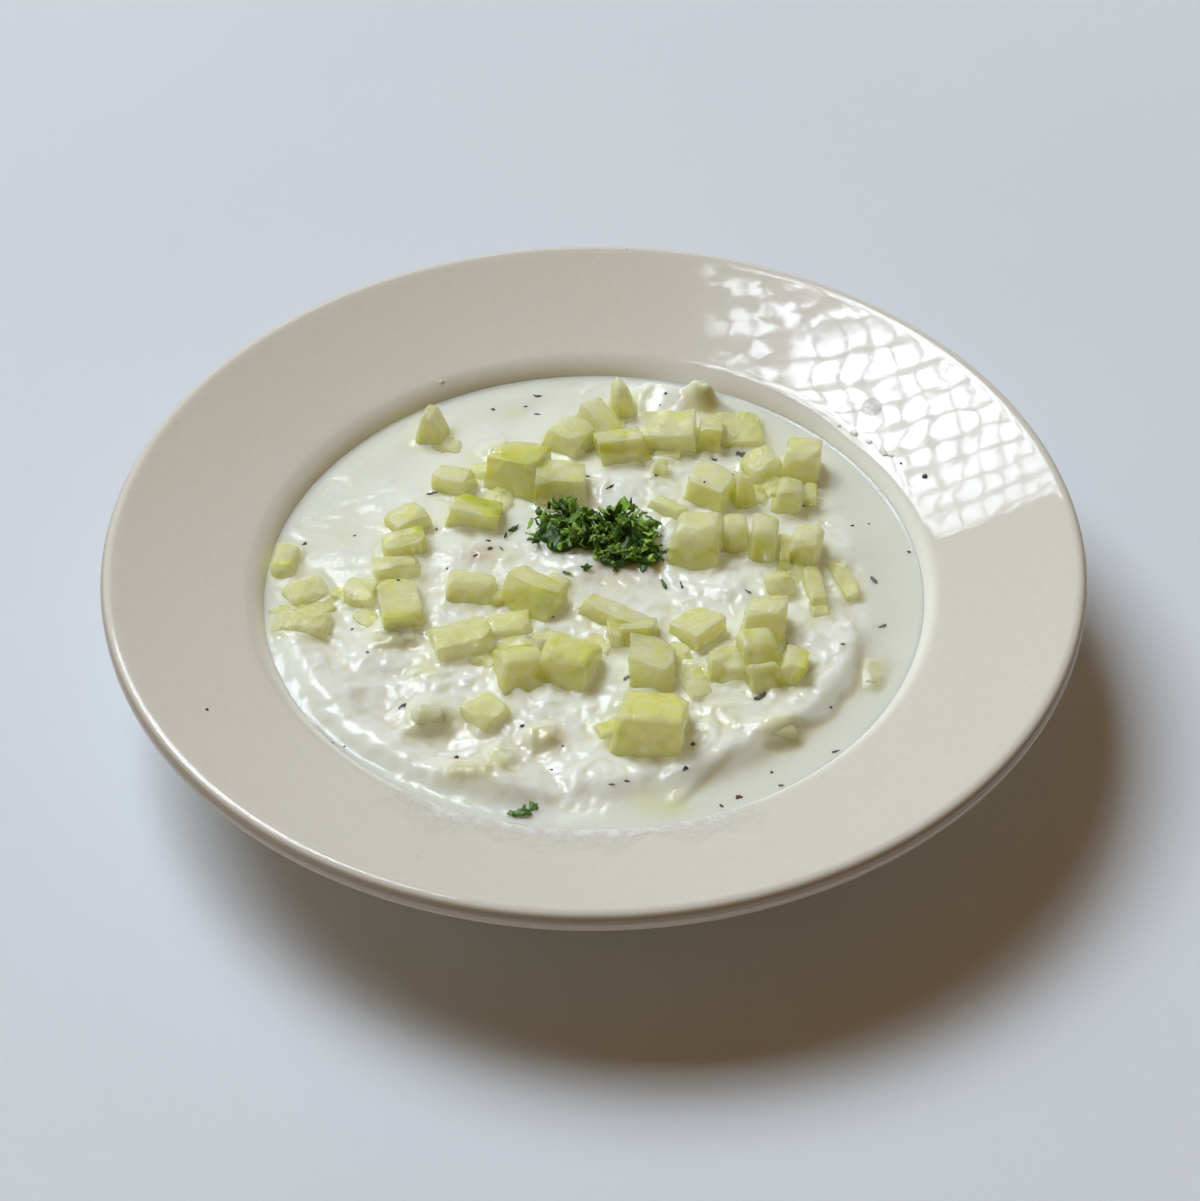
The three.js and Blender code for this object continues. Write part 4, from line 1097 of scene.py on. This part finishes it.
# Dried herbs: x, y, length, width, turn, kind (0 dark mint, 1 grey leaf, 2 pepper,
# 3 reddish).
HERBS = (
    (-14, 69.5, 3.2, 1.2, 0, 0), (-25, 64, 2.4, 1.1, -20, 0), (-17, 65, 1.4, 0.9, 30, 0),
    (-14, 62, 2.2, 1.0, 0, 1), (36.5, 46.6, 4.2, 3.2, -20, 1), (29.6, 44, 2.6, 1.3, -30, 0),
    (34, 38, 1.8, 1.0, -40, 0), (4, 32, 4.0, 1.3, 45, 0), (-1.6, 36.2, 2.2, 1.3, 10, 0),
    (15, 36, 1.6, 1.2, 0, 2), (26.5, 27, 1.4, 1.2, 20, 2), (43.4, 30.4, 3.0, 1.3, -60, 0),
    (50.5, 27, 1.2, 1.0, 0, 2), (-69, 15.4, 2.8, 1.4, 30, 1), (-37.5, 18, 2.0, 0.8, 60, 0),
    (-25, 13.4, 2.2, 0.9, 0, 0), (-22, 11, 2.4, 0.9, -60, 1), (-28, 8, 1.6, 0.9, 40, 0),
    (-34.5, 4, 1.2, 0.9, 80, 2), (-57, 17, 1.6, 1.1, 10, 1), (20.6, -2, 3.8, 0.9, -80, 0),
    (-3, -10, 2.0, 0.8, 30, 1), (-9.5, -13, 1.8, 0.8, 45, 1), (36, -5, 2.8, 1.2, -50, 1),
    (66, 2, 3.8, 1.4, -60, 1), (67, -13.4, 2.4, 2.0, 20, 1), (-43.4, -41, 3.4, 1.4, 60, 1),
    (-52, -24, 1.4, 1.0, 0, 2), (-56, -15, 1.2, 1.0, 0, 2), (-31, -56, 2.2, 1.6, 20, 3),
    (-16, -47, 2.2, 1.5, 20, 0), (37.6, -38.6, 4.2, 2.2, 45, 1), (7.8, -33.6, 3.4, 2.4, 20, 1),
    (22, -53.8, 3.0, 1.8, 40, 1), (20.4, -61, 3.0, 1.8, 50, 0), (7, -64, 2.4, 1.0, 20, 1),
    (3.6, -65.2, 2.2, 1.0, 0, 1), (39.5, -60, 1.3, 1.1, 0, 2), (41.5, -64, 2.2, 0.9, 0, 1),
    (32, -67.4, 3.0, 2.0, 20, 3), (28, -70, 1.8, 0.9, -20, 0), (26, -75, 1.7, 1.5, 0, 3),
    (53.5, -41, 1.3, 1.1, 0, 3), (54, -53.6, 2.4, 1.0, 30, 1), (-59, -50.5, 1.4, 0.9, 0, 0),
    (-56, -51.5, 1.1, 0.8, 0, 0), (-9.5, -60, 1.3, 0.9, -30, 0), (-7, -53, 1.2, 0.9, 0, 1),
    (62, 21, 1.2, 0.9, 20, 0), (66, 22, 1.2, 0.9, -30, 0), (75, 12, 1.7, 1.3, 20, 3),
    (57, -23, 1.9, 1.2, 30, 1), (18, 66.5, 1.4, 0.9, 10, 0), (16.5, 63.5, 1.2, 0.9, 0, 2),
    (28.5, 74.5, 1.5, 1.3, 0, 2), (-6.5, 56, 1.3, 1.0, 0, 2), (36, 61, 1.2, 1.0, 0, 2),
    (-39, 31, 4.0, 0.9, 20, 1), (-24.6, 10.6, 2.0, 1.2, 60, 3), (-45.6, -3.6, 1.2, 1.0, 0, 2),
)
HERB_TONES = np.array([
    (0.050, 0.046, 0.038), (0.150, 0.150, 0.150), (0.035, 0.025, 0.018), (0.160, 0.075, 0.055),
])


def dome(reach_x, reach_y, reach_z, rows=12, columns=20):
    """A closed lump: points of a ball at (sin p cos a, sin p sin a, cos p), scaled."""
    p = np.linspace(0, np.pi, rows)[1:-1, None]
    a = np.linspace(0, 2 * np.pi, columns, endpoint=False)[None, :]
    ball = on_rings(np.sin(p), np.cos(p), a).reshape(-1, 3)
    points = np.concatenate([ball, [(0, 0, 1), (0, 0, -1)]]) * (reach_x, reach_y, reach_z)
    return points, *ring_faces(rows - 2, columns)


def bits(lengths, widths, lobes, depths, curls, thickness, random, rows=5, columns=16):
    """Many thin torn pieces of leaf as one array (piece, point, 3), and the faces of one.
    A ball's points at (sin p cos a, sin p sin a, cos p) become a lens whose outline is
    1 - depth (1 + cos(lobes a + phase)) / 2 with finer teeth; the lens bends along its
    length and across it by curls times the square of the distance, and is crumpled."""
    ball, quads, caps = dome(1, 1, 1, rows, columns)
    given = (lengths, widths, lobes, depths, curls)
    lengths, widths, lobes, depths, curls = (np.reshape(one, (-1, 1)) for one in given)
    a = np.arctan2(ball[:, 1], ball[:, 0])
    phase, tooth = random.uniform(0, 2 * np.pi, (2, len(lengths), 1))
    outline = 1 - depths * (1 + np.cos(lobes * a + phase)) / 2
    outline = outline * (1 - 0.4 * depths * (1 + np.cos(7 * a + tooth)) / 2)
    along, across = outline * ball[:, 0] * lengths / 2, outline * ball[:, 1] * widths / 2
    lift = curls * (along ** 2 / lengths + 0.8 * across ** 2 / widths * np.cos(phase))
    points = np.stack([along, across, lift + ball[:, 2] * thickness / 2], -1)
    points[..., 2] += 0.16 * lengths * noise(points / lengths[..., None], 0.22, 31)
    return points, quads, caps


def scatter(points, quads, caps, headings, pitches, rolls, places):
    """Turns each bit, sets it at its place, and joins all into one mesh's arrays."""
    turned_points = np.einsum("nij,npj->npi", turns(headings, pitches, rolls), points)
    laid = turned_points + np.asarray(places)[:, None, :]
    offset = np.arange(len(points))[:, None, None] * points.shape[1]
    faces = [(part[None] + offset).reshape(-1, part.shape[1]) for part in (quads, caps)]
    return laid.reshape(-1, 3), faces


def add_leaves(ground, finish, random):
    """Finely chopped leaves stuck in the clumps at all angles, the flatter the nearer
    they are to a clump's middle."""
    count = LEAVES
    share = np.array([rx * ry for _, _, rx, ry, _ in CLUMPS])
    which = random.choice(len(CLUMPS), count, p=share / share.sum())
    clump = np.array(CLUMPS)[which]
    heading = random.uniform(0, 360, count)
    out = np.sqrt(random.uniform(0, 1, count))
    rise = np.sqrt(np.maximum(1 - 0.85 * out ** 2, 0))
    x = clump[:, 0] + clump[:, 2] * out * np.cos(np.radians(heading))
    y = clump[:, 1] + clump[:, 3] * out * np.sin(np.radians(heading))
    z = ground + clump[:, 4] * rise * random.uniform(0.4, 1.2, count)
    length = 2.2 + 6.6 * random.beta(1.1, 2.6, count)
    slim = np.where(random.uniform(0, 1, count) < 0.2, 0.35, 1.0)
    points, quads, caps = bits(
        length, slim * length * random.uniform(0.30, 0.8, count),
        random.integers(2, 5, count), random.uniform(0.2, 0.6, count),
        random.uniform(-2.0, 2.0, count), 0.22, random,
    )
    tilt = random.uniform(-70, 70, count) * (0.35 + 0.65 * out)
    laid, faces = scatter(
        points, quads, caps, heading + random.uniform(-70, 70, count), tilt,
        random.uniform(-65, 65, count), np.stack([x, y, z], -1),
    )
    tone = np.repeat(random.beta(1.6, 2.2, count), points.shape[1])
    laid[:, 2] = np.minimum(laid[:, 2], ground + HEAP_TOP)
    piece = lay_mesh("parsley_leaves", laid, faces, {"leaf_tone": tone})
    serve(piece, finish, "parsley", "parsley_heap")


def add_core(ground, finish):
    """The soft middles of the clumps, which close the gaps between the leaves and, at
    nearly the darkest green, stand as painted shade in those gaps.
    """
    cores = []
    for cx, cy, rx, ry, rz in CLUMPS:
        points, quads, caps = dome(rx * 0.74, ry * 0.74, rz * 0.6, 24, 36)
        points = points * (1 + 0.26 * noise(points, 2.2, 50))[:, None]
        cores.append((points + (cx, cy, ground), quads, caps))
    points, faces = joined(cores)
    # leaf tone 0, nearly the darkest green: painted shade between the leaves
    piece = lay_mesh("parsley_core", points, faces, {"leaf_tone": np.zeros(len(points))})
    serve(piece, finish, "parsley")


def add_strays(finish, random):
    """Bits of leaf that lie on the dip beside the heap."""
    x, y, length, width, turn = np.array(STRAYS, float).T
    count = len(STRAYS)
    points, quads, caps = bits(
        length, width, random.integers(2, 5, count), random.uniform(0.3, 0.6, count),
        random.uniform(-0.8, 0.8, count), 0.25, random,
    )
    laid, faces = scatter(
        points, quads, caps, turn, random.uniform(-9, 9, count),
        random.uniform(-14, 14, count), np.stack([x, y, dip_surface(x, y) + 0.35], -1),
    )
    tone = np.repeat(random.uniform(0, 0.3, count), points.shape[1])
    serve(lay_mesh("parsley_strays", laid, faces, {"leaf_tone": tone}), finish, "parsley")


def add_parsley():
    """The heap: soft clumps with chopped leaves in them, and a few bits beside it."""
    random = np.random.default_rng(5)
    finish = parsley_finish()
    ground = dip_level(2.0, 12.0) + 0.4
    add_leaves(ground, finish, random)
    add_core(ground, finish)
    add_strays(finish, random)


def add_herbs(finish):
    """Dried flakes: small crumpled leaves, half sunk in the dip or on a cut piece."""
    random = np.random.default_rng(8)
    x, y, length, width, turn, kind = np.array(HERBS, float).T
    count = len(HERBS)
    points, quads, caps = bits(
        length, width * 0.85, random.integers(2, 4, count),
        random.uniform(0.2, 0.6, count), random.uniform(-0.9, 0.9, count), 0.24, random,
    )
    on_piece = np.full(count, -np.inf)
    for row in CUCUMBER:
        over = off_piece(x, y, row) < 0.1
        top = dip_level(row[0], row[1]) + row[2]
        on_piece = np.where(over, np.maximum(on_piece, top), on_piece)
    z = np.maximum(dip_surface(x, y) - 0.02, on_piece + 0.1)
    laid, faces = scatter(
        points, quads, caps, turn + random.uniform(-12, 12, count),
        random.uniform(-12, 12, count), random.uniform(-20, 20, count),
        np.stack([x, y, z], -1),
    )
    tone = np.repeat(HERB_TONES[kind.astype(int)], points.shape[1], axis=0)
    tone = tone * np.repeat(random.uniform(0.7, 1.6, count), points.shape[1])[:, None]
    piece = lay_mesh("herb_flakes", laid, faces, colours={"tone": tone})
    serve(piece, finish, "parsley")


# ---- traces on the china ----------------------------------------------------------

# Drops of yoghurt on the lip and crumbs of herb on the rim: angle, radius, length across
# the rim, width, height, kind (0 yoghurt, 1 herb).
SPLASHES = (
    (38.5, 81.6, 1.6, 2.6, 0.5, 0), (35, 82.2, 1.2, 1.6, 0.4, 0), (31.6, 82.8, 1.6, 3.4, 0.5, 0),
    (30, 83.6, 0.8, 1.6, 0.3, 0), (41.8, 81, 0.8, 1.2, 0.3, 0), (118, 80.8, 1, 1.4, 0.4, 0),
    (22.5, 86.5, 1.3, 1.6, 0.5, 1), (-150.6, 99.1, 0.7, 0.8, 0.3, 1),
    (27.4, 84, 0.5, 0.8, 0.25, 1),
)
DROP = (40.2, 89.7, 5.0, 5.6, 0.8)    # a clear drop: the same values without the kind
SMEAR = (-125, -62, 76.8, 97)         # a greasy smear: angles and radii it lies between


def rim_height(radius):
    """Height of the china's upper face from the lip out to the rolled edge."""
    section = bowl_section()
    face = section[np.argmax(section[:, 1]):]
    face = face[face[:, 0] > 70]
    return np.interp(radius, face[::-1, 0], face[::-1, 1])


def on_rim(points, angle, radius):
    """Points given across and along the rim and above it, laid on the china there."""
    a, r = np.radians(angle), radius + points[:, 0]
    x = r * np.cos(a) - points[:, 1] * np.sin(a)
    y = r * np.sin(a) + points[:, 1] * np.cos(a)
    return np.stack([x, y, rim_height(np.hypot(x, y)) + points[:, 2]], -1)


def add_splashes(kind, name, colour, finish, slot):
    """The splashes or the crumbs on the rim, as low uneven domes."""
    parts = []
    for angle, radius, across, along, height, row_kind in SPLASHES:
        if row_kind == kind:
            points, quads, caps = dome(across / 2, along / 2, height, 10, 20)
            points = points * (1 + 0.3 * noise(points + radius, 0.8, 80))[:, None]
            parts.append((on_rim(points, angle, radius), quads, caps))
    points, faces = joined(parts)
    lumpy, tone = np.full(len(points), 0.3), np.tile(colour, (len(points), 1))
    serve(lay_mesh(name, points, faces, {"lumpy": lumpy}, {"tone": tone}), finish, slot)


def add_drop():
    """A clear drop: a dome that is nearly flat below."""
    angle, radius, across, along, height = DROP
    points, quads, caps = dome(across / 2, along / 2, height, 24, 40)
    flat = np.where(points[:, 2] < 0, 0.1, 1.0)
    points = points * (1 + 0.12 * noise(points, 2.2, 81))[:, None]
    points[:, 2] *= flat
    piece = lay_mesh("clear_drop", on_rim(points, angle, radius), [quads, caps])
    serve(piece, water_finish(), "yoghurt")


def add_smear():
    """A sheet of angles u and radii v just over the glaze.  It is cloudy from the dip out
    to a ragged reach, which is noise of u, and streaked by noise along the radius."""
    start, end, low, high = SMEAR
    u, v = np.meshgrid(np.linspace(0, 1, 120), np.linspace(0, 1, 40), indexing="ij")
    a, r = np.radians(start + (end - start) * u), low + (high - low) * v
    points = on_rings(r, rim_height(r), a)
    points[..., 2] += 0.05 + 0.04 * smooth_step(0.1, 0.6, noise(points[..., :2], 2.0, 82))
    reach = 0.66 + 0.34 * noise(np.stack([8 * u, 0 * u], -1), 1.0, 83)
    streaks = 0.55 + 0.45 * noise(np.stack([r * 0.5 + 4 * u, 26 * u], -1), 1.6, 84)
    ends = smooth_step(0, 0.12, u) * smooth_step(1, 0.88, u)
    cloudy = smooth_step(reach, 0.55 * reach, v) * ends
    cloudy = np.clip(cloudy * np.maximum(streaks, smooth_step(0.45, 0.25, v)), 0, 1)
    piece = lay_mesh(
        "yoghurt_smear", points.reshape(-1, 3), [grid_quads(*u.shape)], {"cloudy": cloudy},
    )
    serve(piece, film_finish(), "yoghurt")


def add_traces(herbs):
    """Splashes, crumbs, a clear drop and a smear of yoghurt on the glaze."""
    splash = yoghurt_finish("thin yoghurt", 0.3)
    add_splashes(0, "yoghurt_splashes", (0.86, 0.87, 0.78), splash, "yoghurt")
    add_splashes(1, "rim_crumbs", (0.13, 0.05, 0.025), herbs, "parsley")
    add_drop()
    add_smear()


# ---- table, light and camera ------------------------------------------------------

ELEVATION = 43.634        # degrees by which the camera looks down
CAMERA_ROLL = -0.2263     # degrees about its own axis
CAMERA_DISTANCE = 780.94
CAMERA_TARGET = (1.41, -15.76, 35.2)
FOCAL_RATIO = 3400 / 1201     # focal length over the longer side of the frame
SENSOR = 36.0                 # longer side of the sensor
CLIP_START, CLIP_END = 50.0, 20000.0

WINDOW_HEIGHT = 6000.0              # the skylight's height above the table
WINDOW_X = (-0.95, -0.05)           # its reach left and back, as shares of its height
WINDOW_Y = (0.20, 0.98)
WINDOW_PANES = (28, 12)             # panes along X and Y
WINDOW_RADIANCE = (18.0, 20.1, 22.7)
BAR_WAVER = 0.05                    # how far the bars between panes waver
BAR_EDGE = (0.065, 0.15)            # where a bar ends, as shares of a pane
BAR_LIGHT = 0.12                    # share of the light that a bar lets through
HAZE = 0.08                         # share of the light that has no pattern
ROOM_LIGHT = (0.155, 0.094, 0.034)  # warm light from the rest of the room
TABLE_REACH = 2500.0


def add_camera():
    """A camera that looks down along +Y, rolled a little about its own axis."""
    tilt, roll = np.radians(ELEVATION), np.radians(CAMERA_ROLL)
    forward = np.array([0, np.cos(tilt), -np.sin(tilt)])
    level = np.array([1.0, 0, 0])
    upright = np.cross(level, forward)
    right = np.cos(roll) * level + np.sin(roll) * upright
    up = -np.sin(roll) * level + np.cos(roll) * upright
    place = (np.array(CAMERA_TARGET) - forward * CAMERA_DISTANCE) * MM
    lens = bpy.data.cameras.new("camera")
    lens.lens, lens.sensor_width = FOCAL_RATIO * SENSOR, SENSOR
    lens.clip_start, lens.clip_end = CLIP_START * MM, CLIP_END * MM
    camera = bpy.data.objects.new("camera", lens)
    camera.matrix_world = Matrix(np.vstack([
        np.stack([right, up, -forward, place], -1), (0, 0, 0, 1),
    ]).tolist())
    bpy.context.scene.collection.objects.link(camera)
    bpy.context.scene.camera = camera


def add_window():
    """A skylight, behind the bowl and to its left, as one soft light that faces down."""
    low, high = np.array([WINDOW_X, WINDOW_Y]).T * WINDOW_HEIGHT * MM
    strength = max(WINDOW_RADIANCE)
    glass = bpy.data.lights.new("skylight", "AREA")
    glass.shape = "RECTANGLE"
    glass.size, glass.size_y = high - low
    glass.energy = strength * np.pi * glass.size * glass.size_y
    glass.color = [part / strength for part in WINDOW_RADIANCE]
    glass.use_nodes = True
    pattern = SkylightPattern(glass.node_tree)
    pattern.put(glass.node_tree.nodes["Emission"].inputs["Strength"], pattern.brightness())
    light = bpy.data.objects.new("skylight", glass)
    light.location = (*(low + high) / 2, WINDOW_HEIGHT * MM)
    bpy.context.scene.collection.objects.link(light)


def add_room():
    """Dim warm light from all round, and the table top."""
    world = bpy.data.worlds.new("room")
    world.use_nodes = True
    world.node_tree.nodes["Background"].inputs["Color"].default_value = rgb(*ROOM_LIGHT)
    bpy.context.scene.world = world
    corners = np.array([(-1, -1, 0), (1, -1, 0), (1, 1, 0), (-1, 1, 0)]) * TABLE_REACH
    table = lay_mesh("table_top", corners, [[(0, 1, 2, 3)]])
    table.data.materials.append(table_finish())
    bpy.context.scene.view_settings.view_transform = "Standard"


# ---- the whole dish ---------------------------------------------------------------

add_camera()
add_window()
add_room()
add_bowl()
add_dip()
add_cucumber()
add_pulp()
add_parsley()
dried = herb_finish()
add_herbs(dried)
add_traces(dried)

bpy.context.view_layer.update()
